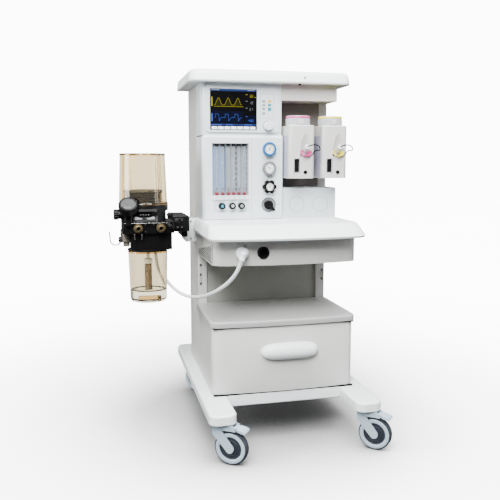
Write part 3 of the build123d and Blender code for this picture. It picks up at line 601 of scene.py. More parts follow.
for level in KEY_ROWS:
    key_piles["grey"].plate(rounded_rectangle(0.0080, 0.0200, level, level + 0.0095, 0.002),
                            (KEYPAD_X[0], screen.y1 - 0.0008, KEYPAD_Z[0]), RIGHT, UP, 0.0016)
for shade, low, high in (("amber", KEY_ROWS[0], KEY_ROWS[0] + 0.0095), ("teal", KEY_ROWS[1], KEY_ROWS[1] + 0.0095),
                         ("teal", KEY_ROWS[2] - 0.004, KEY_ROWS[2] + 0.0095)):
    key_piles[shade].plate(rounded_rectangle(0.0310, 0.0450, low, high, 0.002),
                           (KEYPAD_X[0], screen.y1 - 0.0008, KEYPAD_Z[0]), RIGHT, UP, 0.0016)
for shade, pile in key_piles.items():
    pile.make(f"keypad_{shade}_keys", "trolley", KEY_COLOURS[shade], "black_plastic", 0.0006)
turn = joint("encoder_turn")
seat = Vector((turn["pos_m"][0], screen.y1, turn["pos_m"][2]))
ring = Pile().turned(scaled([(18.2, 0), (18.2, 0.9), (18.8, 1.3), (20.4, 1.3), (21, 0), (18.2, 0)]), seat, FORWARD, 72)
ring.make("encoder_ring", "trolley", grey_plastic, "grey_metal")
knob = span("encoder_knob")
face = Pile().turned(scaled([(0, 0.2), (10, 0.2), (11.5, 0.6), (12.4, 0.2), (12.7, 0), (0, 0)]),
                     (knob.cx, knob.y0, knob.cz), FORWARD, 64)
face.make("encoder_face", "encoder", cover_white, "white_moulding")
print("keys and encoder trimmed")

# %% [markdown]
# ## Flow tubes
# Six tapered glass tubes stand in three pairs in a recessed window. Each has a dark cap, a red foot, a small
# float inside and a fine scale beside it. The first pair stands on a blue tinted plate with a dark edge; the
# others have a chequered strip at their right, black and white in turn.

# %% Window plates, tubes and scales
tubes, panel = span("flow_tubes"), span("flow_panel")
WINDOW_X, WINDOW_Z = (panel.x0 + 0.040, panel.x0 + 0.187), (0.938, 1.143)
WINDOW_BACK, TUBE_Y = panel.y0 + 0.017, tubes.cy
TUBE_X = [tubes.x0 + 0.007 + offset * MM for offset in (0, 24, 47, 69, 90, 112)]
window_grey = finish("window_grey", (0.19, 0.21, 0.235), 0.4, 0.02)
back = Pile()
back.plate(rect(WINDOW_X[0] + 0.0005, WINDOW_X[1] - 0.0005, WINDOW_Z[0] + 0.0005, WINDOW_Z[1] - 0.0005),
           (0, WINDOW_BACK, 0), RIGHT, UP, 0.0006)
back.make("window_back", "trolley", window_grey, "white_moulding")
blue_field = finish("blue_field", (0.15, 0.22, 0.34), 0.35, 0.03)
dark_blue = finish("dark_blue_strip", (0.006, 0.03, 0.12), 0.35, 0.03)
field = Pile()
FIELD_Z = WINDOW_Z[0] + 0.016, WINDOW_Z[1] - 0.012
field.plate(rect(TUBE_X[0] - 0.017, TUBE_X[1] + 0.010, *FIELD_Z), (0, WINDOW_BACK - 0.0006, 0), RIGHT, UP, 0.0004)
field.make("first_pair_field", "trolley", blue_field, "display")
edge = Pile().plate(rect(TUBE_X[1] + 0.0095, TUBE_X[1] + 0.0125, *FIELD_Z), (0, WINDOW_BACK - 0.0007, 0), RIGHT, UP,
                    0.0006)
edge.make("first_pair_edge", "trolley", dark_blue, "display")
chequer, ticks = Pile(), Pile()
for pair_right, wide in ((TUBE_X[3] + 0.0085, 0.0050), (TUBE_X[5] + 0.0085, 0.0025)):
    for step in range(0, 17, 2):
        low = WINDOW_Z[0] + 0.018 + step * 0.0103
        chequer.plate(rect(pair_right, pair_right + wide, low, low + 0.0103), (0, WINDOW_BACK - 0.0006, 0),
                      RIGHT, UP, 0.0004)
chequer.make("chequered_strips", "trolley", black_plastic, "black_plastic")
for x in TUBE_X:
    for step in range(21):
        long = 0.0046 if step % 5 == 0 else 0.0028
        level = WINDOW_Z[0] + 0.026 + step * 0.0078
        ticks.plate(rect(x + 0.0074 - long / 4, x + 0.0074 + long * 0.75, level, level + 0.0009),
                    (0, TUBE_Y - 0.0002, 0), RIGHT, UP, 0.0002)
ticks.make("flow_scales", "trolley", black_plastic, "black_plastic")
print("window", [round(v, 4) for v in (*WINDOW_X, *WINDOW_Z)])

# %% Glass, floats, caps and feet
glass, floats, caps, feet = Pile(), Pile(), Pile(), Pile()
GLASS_PROFILE = [(6.6, 12), (6.8, 110), (6.9, 192), (5.6, 192), (4.6, 110), (4.0, 12), (6.6, 12)]
for index, x in enumerate(TUBE_X):
    foot = (x, TUBE_Y, tubes.z0)
    glass.turned(scaled(GLASS_PROFILE), foot, UP, 32)
    floats.turned(scaled([(0, 20), (1.2, 21), (3.4, 25), (3.4, 27), (2.2, 29), (0, 31)]), foot, UP, 24)
    caps.turned(scaled([(0, 203), (6.4, 203), (7.0, 201.5), (7.0, 193), (5.4, 192), (0, 192)]), foot, UP, 32)
    feet.turned(scaled([(0, 0), (7.0, 0), (7.0, 9), (6.2, 12), (5.2, 13.5), (0, 13.5)]), foot, UP, 32)
glass.make("flow_glass", "trolley", clear_glass, "clear_glass", replaces=["flow_tubes"])
floats.make("flow_floats", "trolley", black_plastic, "black_plastic")
caps.make("flow_caps", "trolley", black_plastic, "black_plastic")
feet.make("flow_feet", "trolley", red_base, "black_plastic")
marks = Pile()
for x in TUBE_X:
    marks.plate(rounded_rectangle(x - 0.005, x + 0.005, WINDOW_Z[0] - 0.0085, WINDOW_Z[0] - 0.0055, 0.0014),
                (0, panel.y0, 0), RIGHT, UP, 0.0003)
marks.make("flow_marks", "trolley", grey_plastic, "grey_metal")
print(len(TUBE_X), "flow tubes")

# %% Seam, knob field and painted seam shadows of the panels
seam = Pile().plate(rect(WINDOW_X[1] + 0.0112, WINDOW_X[1] + 0.0124, 0.846, 1.165), (0, panel.y0, 0), RIGHT, UP, 0.0002)
seam.make("flow_panel_seam", "trolley", panel_line, "light_grey_panel")
first, last, unit = span("flow_knob_1"), span("flow_knob_3"), span("monitor_housing")
knob_field = bars(Pile(), first.cx - 0.027, last.cx + 0.023, first.cz - 0.021, first.cz + 0.021, 0.0009,
                  (0, panel.y0, 0), 0.0003)
knob_field.make("knob_field_outline", "trolley", panel_line, "light_grey_panel")
# Thin dark strips at the foot of the flow panel and under the monitor housing: painted shadow lines in the seams.
tray_top, seam_shadow = span("worktop").z1, Pile()
seam_shadow.plate(rect(panel.x0 + 0.004, panel.x1 - 0.001, tray_top + 0.0002, tray_top + 0.0018), (0, panel.y0, 0),
             RIGHT, UP, 0.0003)
seam_shadow.plate(rect(unit.x0 + 0.003, unit.x1 - 0.003, unit.z0 - 0.0004, unit.z0 + 0.0008), (0, unit.y0, 0),
             RIGHT, UP, 0.0003)
seam_shadow.make("panel_seam_shadows", "trolley", hub_grey, "black_rubber")
print("panel joints drawn")

# %% Coloured caps of the flow knobs
for index, shade in ((1, teal_key), (2, bracket_grey), (3, grey_plastic)):
    knob = span(f"flow_knob_{index}")
    cap = Pile().turned(scaled([(0, 0.9), (4.6, 0.9), (6.0, 0.5), (6.5, -0.4), (0, -0.4)]),
                        (knob.cx, knob.y0, knob.cz), FORWARD, 48)
    cap.make(f"flow_knob_cap_{index}", f"flow_valve_{index}", shade, "black_plastic")
print("knob caps set")

# %% [markdown]
# ## Gauges
# Four round gauges share one way of making: a turned rim, a white card with fine division marks, a tapered
# needle on a hub, and a shallow clear crown over it. One function makes a gauge from its centre, the direction
# it looks in and its radius, so the tilted airway gauge is as easy as those on the panel.

# %% A function for a gauge
def gauge(name, centre, axis, radius, rim, body, reading=0.25, card=dial_white, opening=0.70):
    """A gauge that looks along an axis, its needle at a share of a three-quarter sweep."""
    axis, centre = Vector(axis).normalized(), Vector(centre)
    upward = (UP - axis * UP.dot(axis)).normalized()
    across = upward.cross(axis)

    def turned(suffix, profile, material, slot):
        shape = Pile().turned([(r * radius, h * MM) for r, h in profile], centre, axis, 72)
        return shape.make(f"{name}_{suffix}", body, material, slot)

    turned("rim", [(opening, 0), (opening + 0.01, 2.2), (opening + 0.05, 3.4), (0.93, 3.6), (0.98, 3.0), (1.01, 1.4),
                   (1.015, -6), (0.97, -6), (opening, 0)], rim, "grey_metal")
    turned("card", [(0, 0.5), (opening + 0.01, 0.5), (opening + 0.01, 0), (0, 0)], card, "white_moulding")
    turned("crown", [(0, 2.8), (opening * 0.6, 2.6), (opening, 1.9)], dial_glass, "clear_glass")
    reach = opening * radius / 0.84

    def at(angle, share):
        return (math.sin(angle) * share * reach, math.cos(angle) * share * reach)

    marks = Pile()
    for step in range(41):
        angle = math.radians(-135 + 270 * step / 40)
        inner, width = (0.58, 0.0017) if step % 5 == 0 else (0.70, 0.0009)
        marks.plate(strip([at(angle, inner), at(angle, 0.79)], width), centre + axis * 0.0005, across, upward, 0.0001)
    arc = [at(math.radians(-135 + 270 * step / 40), 0.80) for step in range(41)]
    marks.plate(strip(arc, 0.0004), centre + axis * 0.0005, across, upward, 0.0001)
    marks.make(f"{name}_marks", body, black_plastic, "black_plastic")
    needle, angle = Pile(), math.radians(-135 + 270 * reading)
    tip, tail = at(angle, 0.68), at(angle + math.pi, 0.2)
    side = (math.cos(angle) * 0.0025, -math.sin(angle) * 0.0025)
    needle.plate([(tail[0] - side[0], tail[1] - side[1]), (tail[0] + side[0], tail[1] + side[1]), tip],
                 centre + axis * 0.0009, across, upward, 0.0004)
    needle.turned([(0, 0.0022), (0.0020, 0.0020), (0.0026, 0.0006), (0, 0.0006)], centre, axis, 24)
    needle.make(f"{name}_needle", body, black_plastic, "black_plastic")


dial_glass = clear("dial_glass", (0.9, 0.92, 0.94), 0.05, 0.06)
print("gauge maker ready")

# %% Panel gauges, regulator face and airway gauge
gauges, regulator = span("pressure_gauges"), span("regulator_knob")
GAUGE_RADIUS = (gauges.x1 - gauges.x0) / 2
dress(["pressure_gauges"], grey_dial, 0.0006)
GAUGE_PITCH = 0.075
for label, drop, rim, reading in (("upper_gauge", 0, blue_plastic, 0.62),
                                  ("lower_gauge", GAUGE_PITCH, grey_dial, 0.30)):
    dial_centre = (gauges.cx, gauges.y0, gauges.z1 - GAUGE_RADIUS - drop)
    gauge(label, dial_centre, FORWARD, GAUGE_RADIUS, rim, "trolley", reading)
gauge("regulator_gauge", (regulator.cx, regulator.y0, regulator.cz), FORWARD, 0.0180, black_plastic, "regulator",
      0.55, opening=0.86)
airway = span("airway_gauge")
AIRWAY_TILT, AIRWAY_RADIUS, AIRWAY_DEPTH = math.radians(48), 0.035, 0.028
airway_axis = Vector((0, -math.cos(AIRWAY_TILT), math.sin(AIRWAY_TILT)))
airway_base = Vector((airway.cx, 0, 0))
airway_base.y = airway.y0 + AIRWAY_RADIUS * airway_axis.z - AIRWAY_DEPTH * airway_axis.y
airway_base.z = 0.893
dress(["airway_gauge"], black_plastic)
gauge("airway_dial", airway_base + airway_axis * AIRWAY_DEPTH, airway_axis, AIRWAY_RADIUS - 0.001, black_plastic,
      "trolley", 0.2, opening=0.80)
print("gauge radius", round(GAUGE_RADIUS, 4))

# %% Dish behind the selector, and the small marks beside the controls
selector = joint("selector_turn")["pos_m"]
dish = Pile().turned(scaled([(18.6, -7.6), (23, -7.3), (27, -5.5), (28.8, -0.5), (29.4, 0.5), (31, 0.4), (31, 0),
                             (29, -7.9), (18.6, -7.9), (18.6, -7.6)]),
                     (selector[0], panel.y0, selector[2]), FORWARD, 72)
dish.make("selector_dish", "trolley", grey_plastic, "grey_metal")
dots = Pile()
for z in (1.121, 1.046, 0.972, 0.899):
    dots.turned(scaled([(0, 0.7), (1.6, 0.5), (2.2, 0), (0, 0)]), (selector[0] + 0.041, panel.y0, z), FORWARD, 20)
dots.make("panel_dots", "trolley", grey_plastic, "grey_metal")
print("selector dished")

# %% [markdown]
# ## Vaporizer bay
# Two vaporizers hang on a bar in front of a dark recess. Each has a white enamelled body with a lilac-grey side
# panel, a coloured funnel round its filler, a wire loop that keeps the cap, a sight glass low on the left, and a
# drain plug. The coloured band round the top of the dial tells the two agents apart.

# %% Bay lining
bay, bar = span("back_panels"), span("vaporizer_bar")
BAY_X, BAY_Z = (0.1846, bay.x1), (0.962, 1.314)
# A dark sheet over the back panel: its colour is partly the panel's own and partly painted shade of the bay.
lining = Pile().plate(rect(BAY_X[0] + 0.001, BAY_X[1], BAY_Z[0] + 0.001, BAY_Z[1] - 0.001), (0, bay.y0, 0),
                      RIGHT, UP, 0.0008)
lining.make("bay_lining_painted_shade", "trolley", bay_painted_shade, "grey_metal")
print("bay lined at y =", round(bay.y0, 4))

# %% Details of each vaporizer
for index, accent in ((1, pink_plastic), (2, yellow_plastic)):
    body, dial, cap = span(f"vaporizer_body_{index}"), span(f"vaporizer_dial_{index}"), joint(f"filler_turn_{index}")
    axis, filler = Vector(cap["axis"]).normalized(), Vector(cap["pos_m"])
    band = Pile().turned(scaled([(44.5, 36.6), (46.8, 36.2), (48.2, 34.4), (48.2, 28.5), (47.2, 27.6), (44.5, 36.6)]),
                         (dial.cx, dial.cy, body.z1), UP, 96)
    band.turned(scaled([(0, 37.4), (43, 37.4), (45, 36.4), (0, 36.4)]), (dial.cx, dial.cy, body.z1), UP, 96)
    band.make(f"dial_band_{index}", f"dial_{index}", accent, "vaporizer_white")
    grip = Pile()
    for step in range(48):
        angle = math.tau * step / 48
        centre = Vector((dial.cx + math.cos(angle) * 0.0470, dial.cy + math.sin(angle) * 0.0470, body.z1 + 0.004))
        grip.turned(scaled([(0, 0), (1.7, 0), (1.7, 21), (1.0, 22.5), (0, 22.5)]), centre, UP, 8)
    grip.make(f"dial_grip_{index}", f"dial_{index}", dial_grey, "vaporizer_white")
    lock = Pile().plate(rounded_rectangle(-0.011, 0.011, 0.004, 0.022, 0.005),
                        (dial.cx - 0.002, dial.y0 + 0.0010, body.z1), RIGHT, UP, 0.005)
    lock.make(f"dial_lock_{index}", f"dial_{index}", vaporizer_enamel, "vaporizer_white", 0.0016)
    side = Pile().plate(rounded_rectangle(0.020, 0.128, 0.004, 0.168, 0.006), (body.x0, body.y1, body.z0),
                        Vector((0, -1, 0)), UP, 0.0008)
    side.make(f"side_panel_{index}", "trolley", lilac_grey, "vaporizer_white", 0.0003)
    funnel = Pile().turned(scaled([(10, -4), (16, 0.5), (21.5, 6.5), (24.4, 11.5), (22.8, 12.2), (19, 7.5), (12, 2.8),
                                   (10, -4)]), filler, axis, 64)
    funnel.make(f"filler_funnel_{index}", "trolley", accent, "vaporizer_white")
    sight_x, sight_z = (body.cx - 0.032, body.cx - 0.012), (1.030, 1.082)
    sight = Pile().plate(rounded_rectangle(sight_x[0] + 0.001, sight_x[1] - 0.001, sight_z[0] + 0.001,
                                           sight_z[1] - 0.001, 0.003), (0, body.y0 + 0.0058, 0), RIGHT, UP, 0.0030)
    sight.make(f"sight_glass_{index}", "trolley", black_plastic, "clear_glass", 0.0006)
    frame_bars = Pile()
    for x0, x1, z0, z1 in ((-0.0022, 0.0222, -0.0025, 0.0), (-0.0022, 0.0222, 0.052, 0.0545),
                           (-0.0022, 0.0, 0.0, 0.052), (0.020, 0.0222, 0.0, 0.052)):
        frame_bars.plate(rect(sight_x[0] + x0, sight_x[0] + x1, sight_z[0] + z0, sight_z[0] + z1), (0, body.y0, 0),
                         RIGHT, UP, 0.0010)
    frame_bars.make(f"sight_frame_{index}", "trolley", grey_plastic, "grey_metal", 0.0003)
    plug = Pile().turned(scaled([(0, 6), (4.5, 6), (5, 5.4), (5, 3), (7, 3), (7.6, 2), (7.6, -1), (0, -1)]),
                         (body.cx + 0.013, body.y0, 1.030), FORWARD, 32)
    plug.make(f"drain_plug_{index}", "trolley", black_plastic, "black_plastic")
    cap_top = filler + axis * 0.042
    bends = [cap_top + Vector(step) for step in ((0, 0, 0), (0.016, -0.012, 0.008), (0.042, -0.010, 0.004),
                                                 (0.052, -0.004, -0.016))]
    bends += [(body.x1 - 0.004, body.y0 - 0.008, 1.118), (body.x1 - 0.010, body.y0 + 0.004, 1.094)]
    wire(f"cap_loop_{index}", bends, 0.0023, black_plastic, "trolley")
print("two vaporizers trimmed")

# %% [markdown]
# ## Bellows and dome
# Black rubber bellows rise and fall in a clear amber dome. The rigid model's bellows are a stack of plain rings,
# so one pleated sleeve takes their place. Moulded ribs and a thick base rim make the dome read as plastic.

# %% Pleated sleeve and its plate
dome, rings, plate = span("bellows_dome"), span("bellows"), span("bellows_plate")
AXIS_X, AXIS_Y, PLEATS = dome.cx, dome.cy, 6
profile = []
for pleat in range(PLEATS):
    base = rings.z0 + pleat * (rings.z1 - rings.z0) / PLEATS
    for share, radius in ((0.06, 66), (0.25, 72.5), (0.42, 75.4), (0.58, 75.4), (0.75, 72.5), (0.94, 66)):
        profile.append((radius * MM, base + share * (rings.z1 - rings.z0) / PLEATS))
sleeve = Pile().turned(profile, (AXIS_X, AXIS_Y, 0), UP, 96)
sleeve = sleeve.make("bellows_sleeve", None, bellows_rubber, "black_rubber", angle=60, replaces=["bellows"])
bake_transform(sleeve)
top = Pile().turned(scaled([(0, 10.5), (22, 10.5), (24, 9.5), (30, 8.6), (70, 8.6), (73, 8.0), (0, 8.0)]),
                    (AXIS_X, AXIS_Y, plate.z0), UP, 96)
top.make("bellows_lid", "bellows_top", black_plastic, "black_plastic")
mark = Pile()
for step in range(26):
    angle = math.radians(-128 + step * 2.9)
    if step % 2 == 0:
        x, y = AXIS_X + math.cos(angle) * 0.0762, AXIS_Y + math.sin(angle) * 0.0762
        mark.block((x - 0.0011, y - 0.0004, plate.z0 + 0.0028), (x + 0.0011, y + 0.0004, plate.z0 + 0.0048))
mark.make("bellows_level_marks", "bellows_top", dial_white, "white_moulding")
print(PLEATS, "pleats, rest height", round(rings.z1 - rings.z0, 4))

# %% Dome, ribs and rims
dress(["bellows_dome"], amber_wall)
TOP_RADIUS, FOOT_RADIUS = 0.087, 0.094
rims = Pile()
rims.turned(scaled([(84, -3), (86.2, 1.2), (87.6, 0.2), (88.6, -3), (88.8, -6), (87.4, -6.4), (84, -3)]),
            (AXIS_X, AXIS_Y, dome.z1), UP, 96)
rims.turned(scaled([(90.6, 0.5), (96.5, 0.5), (97, 3), (96.5, 6), (94.4, 8.5), (91, 8.2), (90.6, 0.5)]),
            (AXIS_X, AXIS_Y, dome.z0), UP, 96)
rims.make("dome_rims", "trolley", amber_edge, "amber_clear")
ribs = Pile()
for angle in (-152, -146, -60, -54, 30, 36, 118, 124):
    a = math.radians(angle)
    outward, along = Vector((math.cos(a), math.sin(a), 0)), Vector((-math.sin(a), math.cos(a), 0)) * 0.0013
    loops = []
    for share in (0.0, 1.0):
        radius = FOOT_RADIUS + (TOP_RADIUS - FOOT_RADIUS) * share
        z = dome.z0 + 0.009 + (dome.z1 - dome.z0 - 0.012) * share
        near, far = (Vector((AXIS_X, AXIS_Y, z)) + outward * (radius + proud) for proud in (-0.001, 0.0016))
        loops.append([near - along, near + along, far + along * 0.5, far - along * 0.5])
    ribs.loops(loops)
ribs.make("dome_ribs", "trolley", amber_edge, "amber_clear")
spigot = Pile().turned(scaled([(0, 2.5), (12, 2.2), (17, 1.4), (19, 0), (0, -0.5)]), (AXIS_X, AXIS_Y, dome.z1), UP, 48)
spigot.make("dome_boss", "trolley", amber_edge, "amber_clear")
print("dome", round(dome.z1 - dome.z0, 3), "m high")

# %% [markdown]
# ## Breathing block
# The block under the dome is black anodised metal with bright fittings: two bored ports for the patient hoses,
# small screws and pins, rows of white dots, a silver line along the top of the bar and a clear water trap.
# All the small round fittings share one turned profile each.

# %% Block finish, ports and marks
dress(["circuit_block"], black_anodised, 0.0012)
block, ports = span("circuit_block"), span("breathing_ports")
BAR_FRONT, BAR_TOP, BAR_BOTTOM = block.y0, 0.842, 0.797
PORTS = [(ports.x0 + 0.0165, ports.cz), (ports.x1 - 0.0165, ports.cz)]
PORT_LIP = [(7.6, -0.5), (7.6, 0.6), (9.2, 1.0), (11.2, 0.2), (11.6, -3), (11.6, -6), (11, -6), (7.6, -0.5)]
PORT_NUT = [(11, 12), (12.5, 12), (13, 11), (17, 10.6), (17.6, 9.4), (17.6, 3), (17, 1.5), (11, 1.5), (11, 12)]
port_rims, bores = Pile(), Pile()
for x, z in PORTS:
    port_rims.turned(scaled(PORT_LIP), (x, ports.y0, z), FORWARD, 48)
    port_rims.turned(scaled(PORT_NUT), (x, BAR_FRONT, z), FORWARD, 48)
    bores.turned(scaled([(0, 0), (7.45, 0), (7.45, 0.4), (0, 0.4)]), (x, ports.y0 + 0.020, z), FORWARD, 40)
port_rims.make("port_rims", "trolley", port_brass, "port_brass")
bores.make("port_bores", "trolley", black_plastic, "black_plastic")


def screw(pile, centre, axis, radius=3.2):
    """A pan head screw, with a round socket sunk into its top."""
    pile.turned(scaled([(0, 0.6 * radius), (0.42 * radius, 0.6 * radius), (0.45 * radius, 0.75 * radius),
                        (0.8 * radius, 0.7 * radius), (radius, 0.35 * radius), (radius, -0.3), (0, -0.3)]),
                centre, axis, 24)


bright = Pile()
for x in (PORTS[0][0] - 0.030, PORTS[0][0] + 0.027, PORTS[1][0] - 0.027, PORTS[1][0] + 0.028):
    screw(bright, (x, BAR_FRONT, 0.832), FORWARD, 2.6)
for x in (-0.4100, -0.3830):
    bright.turned(scaled([(0, -22), (1.4, -22), (2.0, -21), (2.0, -6), (3.4, -5), (3.4, 0), (0, 0)]),
                  (x, BAR_FRONT + 0.010, BAR_BOTTOM), UP, 20)
bright.turned(scaled([(0, 1.2), (1.8, 1.0), (2.3, 0), (0, -0.3)]), (block.x0 + 0.098, BAR_FRONT, 0.806), FORWARD, 20)
bright.make("block_fasteners", "trolley", steel, "steel")
line = Pile().block((block.x0 + 0.020, BAR_FRONT - 0.0012, BAR_TOP - 0.0050),
                    (block.x0 + 0.190, BAR_FRONT, BAR_TOP - 0.0026))
line.make("block_silver_line", "trolley", steel, "steel", 0.0004)
marks = Pile()
RING_RADIUS = 0.088
for first, step, count, level, size in ((-134, 2.6, 30, 0.016, 0.8), (-101, 6.5, 4, 0.028, 2.0)):
    for place in range(count):
        angle = math.radians(first + step * place)
        outward = Vector((math.cos(angle), math.sin(angle), 0))
        marks.turned(scaled([(0, 0.5), (0.8 * size, 0.5), (size, 0), (0, 0)]),
                     Vector((AXIS_X, AXIS_Y, BAR_TOP + level)) + outward * RING_RADIUS, outward, 16)
marks.make("housing_marks", "trolley", dial_white, "white_moulding")
print("ports at", [round(v, 4) for v in PORTS[0]], [round(v, 4) for v in PORTS[1]])

# %% Slanted cover, knobs and the water trap
cover = Pile()
outline = [(-0.0937, 0.8422), (-0.0935, 0.846), (-0.0700, 0.872), (-0.066, 0.876), (-0.050, 0.876), (-0.050, 0.8422)]
cover.loops([[(x, y, z) for y, z in outline] for x in (-0.4180, -0.3200)])
cover.make("slanted_cover", "trolley", black_plastic, "black_metal", 0.0025)
patches = Pile()
slope_up = Vector((0, 0.0235, 0.026)).normalized()
patches.plate(rounded_rectangle(-0.4080, -0.3800, 0.009, 0.022, 0.002), (0, -0.0935, 0.846), RIGHT, slope_up, 0.0008)
patches.plate(rounded_rectangle(-0.3620, -0.3330, 0.009, 0.022, 0.002), (0, -0.0935, 0.846), RIGHT, slope_up, 0.0008)
patches.make("cover_labels", "trolley", satin_metal, "steel", 0.0002)
knobs = Pile()
KNOB = [(0, 14), (8.5, 14), (10.2, 12.8), (10.6, 11), (10.6, 3), (9, 1.6), (5, 1.4), (5, -2), (0, -2)]
for x, z, size in ((-0.2760, 0.868, 1.15), (-0.2500, 0.842, 0.9), (-0.2740, 0.824, 0.8)):
    knobs.turned([(r * size, h * size) for r, h in scaled(KNOB)], (x, BAR_FRONT + 0.004, z), FORWARD, 40)
knobs.turned(scaled([(0, 20), (10, 20), (11.5, 18.5), (11.5, 4), (7, 2), (7, -3), (0, -3)]),
             (-0.4387 - 0.010, -0.0187, 0.770), Vector((-1, 0, 0)), 40)
knobs.make("block_knobs", "trolley", black_plastic, "black_plastic")
TRAP = (-0.4387, -0.0187)
trap = Pile().turned(scaled([(0, 0.5), (17.6, 0.5), (18.2, -1.5), (18.2, -30), (17.2, -36), (13.6, -39.4), (12.6, -41),
                             (12.6, -51), (11, -54.4), (0, -54.6)]), (*TRAP, BAR_BOTTOM), UP, 56)
trap.make("water_trap_cup", "trolley", trap_clear, "clear_glass")
relief = span("relief_knob")
cap = Pile().turned(scaled([(0, 1.4), (9, 1.2), (13, 0.6), (14, 0), (14, -0.6), (0, -0.6)]),
                    (relief.x0, relief.cy, relief.cz), Vector((-1, 0, 0)), 56)
cap.make("relief_knob_cap", "relief_valve", grey_plastic, "black_plastic")
print("trap", round(BAR_BOTTOM - 0.0546, 4), "m above the floor at its lowest")

# %% [markdown]
# ## Absorbent canister
# A tapered clear amber cup with a very thick base hangs under the block. Down its middle goes a tan tube with a
# white collar and a bright rod. The rigid part is one solid, so turned pieces take its place: the wall with its
# real thickness, the tube, the collar, the rod, a seal ring, a wing to turn it by and a drain spigot.

# %% Cup and what is in it
cup = span("canister")
CUP_X, CUP_Y, CUP_BOTTOM = cup.cx, cup.cy, cup.z0
body = "absorbent_canister"


def in_cup(name, profile, material, slot, centre=(CUP_X, CUP_Y), **more):
    """A turned piece of the canister, its heights measured from the cup's lowest point."""
    return Pile().turned(scaled(profile), (*centre, CUP_BOTTOM), UP, 72).make(name, body, material, slot, **more)


in_cup("canister_wall", [(0, 0), (60, 0), (66, 1.5), (70.6, 6), (72.3, 12), (77.8, 209), (77.8, 210.9), (74, 210.9),
                         (69, 48), (64, 45.5), (0, 45)], amber_cup, "amber_clear", replaces=["canister"])
in_cup("canister_rim", [(74.2, 197), (78.0, 197), (78.0, 203), (77, 204.5), (74.2, 204.5), (74.2, 197)], amber_edge,
       "amber_clear")
in_cup("canister_base_ring", [(64, 46), (69.2, 46.5), (69.3, 49), (67.5, 50.5), (65, 49.5), (64, 46)], bellows_rubber,
       "black_rubber")
in_cup("canister_tube", [(0, 46.5), (15.6, 46.5), (15.6, 52), (14.4, 54), (14.4, 148), (12.5, 151), (0, 151)],
       finish("tan_tube", (0.085, 0.055, 0.018), 0.42, 0.08), "amber_clear")
in_cup("canister_collar", [(0, 151), (16, 151), (17.5, 153), (17.5, 166), (15, 169), (0, 169)], dial_white,
       "white_moulding")
in_cup("canister_rod", [(0, 169), (6.4, 169), (6.4, 186), (7.8, 188), (7.8, 210), (0, 210)], steel, "steel")
wing = Pile()
wing.plate(rounded_rectangle(-0.041, 0.041, 0.014, 0.030, 0.006), (CUP_X, CUP_Y - 0.040, CUP_BOTTOM), RIGHT, UP, 0.010)
wing.make("canister_wing", body, amber_edge, "amber_clear", 0.002)
spigot = Pile().turned(scaled([(0, 0), (5.5, 0), (5.5, 12), (8, 14), (8, 20), (0, 20)]),
                       (CUP_X + 0.034, CUP_Y - 0.030, CUP_BOTTOM + 0.004), UP, 32)
spigot.make("canister_spigot", body, port_brass, "port_brass")
seal = Pile().turned(scaled([(60, 0), (79, 0), (79.4, -2), (79.4, -7), (77, -8), (60, -0.2)]),
                     (CUP_X, CUP_Y, 0.7308), UP, 72)
seal.make("canister_seat", "trolley", black_plastic, "black_rubber")
print("canister", round(cup.z1 - cup.z0, 3), "m high")

# %% [markdown]
# ## Bracket and clamp
# A grey plate is fixed to the column, and a black clamp joins it to the block. They are one rigid part, so two
# moulded pieces take its place, each with the step and the screws that hold it.

# %% Clamp, plate and stepped blocks
bracket = span("absorber_bracket")
clamp = Pile().block((bracket.x0, bracket.y0, 0.797), (-0.1907, 0.1813, 0.858))
clamp.block((bracket.x0 + 0.004, bracket.y0 - 0.004, 0.806), (-0.2120, bracket.y0 + 0.030, 0.850))
clamp.block((-0.2150, 0.020, 0.770), (-0.1930, 0.170, 0.799))
clamp.make("absorber_clamp", "trolley", black_anodised, "black_metal", 0.003, replaces=["absorber_bracket"])
plate_piece = Pile().block((-0.1907, 0.1113, 0.740), (-0.1419, 0.2213, 0.836))
plate_piece.make("bracket_plate", "trolley", bracket_grey, "grey_metal", 0.003)
lip = Pile().block((-0.1913, 0.1083, 0.738), (-0.1423, 0.1113, 0.838))
lip.make("bracket_lip", "trolley", moulded_white, "light_grey_panel", 0.001)
heads = Pile()
for x, z in ((-0.240, 0.842), (-0.222, 0.842), (-0.240, 0.814), (-0.222, 0.814)):
    screw(heads, (x, bracket.y0 - 0.004, z), FORWARD, 3.6)
for z in (0.752, 0.824):
    screw(heads, (-0.166, 0.1083, z), FORWARD, 4.0)
heads.make("clamp_screws", "trolley", steel, "steel")
print("bracket made")

# %% [markdown]
# ## Outlet box, shelves and column
# The left face of the outlet box has a perforated vent that narrows downwards. The round port has a thin rim,
# the socket beside it a dark bore, and the top shelf a small lamp under its front edge.

# %% Port rims, socket bore and side vent
outlet, port, socket = span("outlet_box"), span("gas_outlet"), span("round_socket")
dress(["gas_outlet"], moulded_white, 0.0008)
flange = Pile().turned(scaled([(12.2, 3.2), (13, 3.6), (19, 3.0), (22.2, 1.2), (22.2, -2), (12.2, -2), (12.2, 3.2)]),
                       (port.x1 - 0.022, port.y0 + 0.0325, port.z1 - 0.022), FORWARD, 64)
flange.make("port_flange", "trolley", moulded_white, "white_moulding")
nut = Pile().turned(scaled([(7.2, 25.5), (9.5, 26.4), (11.4, 25), (11.6, 22), (11.6, 14), (11.0, 12.6), (7.2, 25.5)]),
                    (-0.0367, -0.3247, 0.741), Vector(HOSE_ROUTE[0]) - Vector((-0.0367, -0.3247, 0.741)), 40)
nut.make("elbow_nut", "trolley", moulded_white, "white_moulding")
lining = Pile().turned(scaled([(14.0, 0.2), (14.4, 1.0), (18, 1.4), (21, 0.9), (22, 0), (14.0, 0.2)]),
                       (socket.cx, socket.y0, socket.z1 - 0.022), FORWARD, 64)
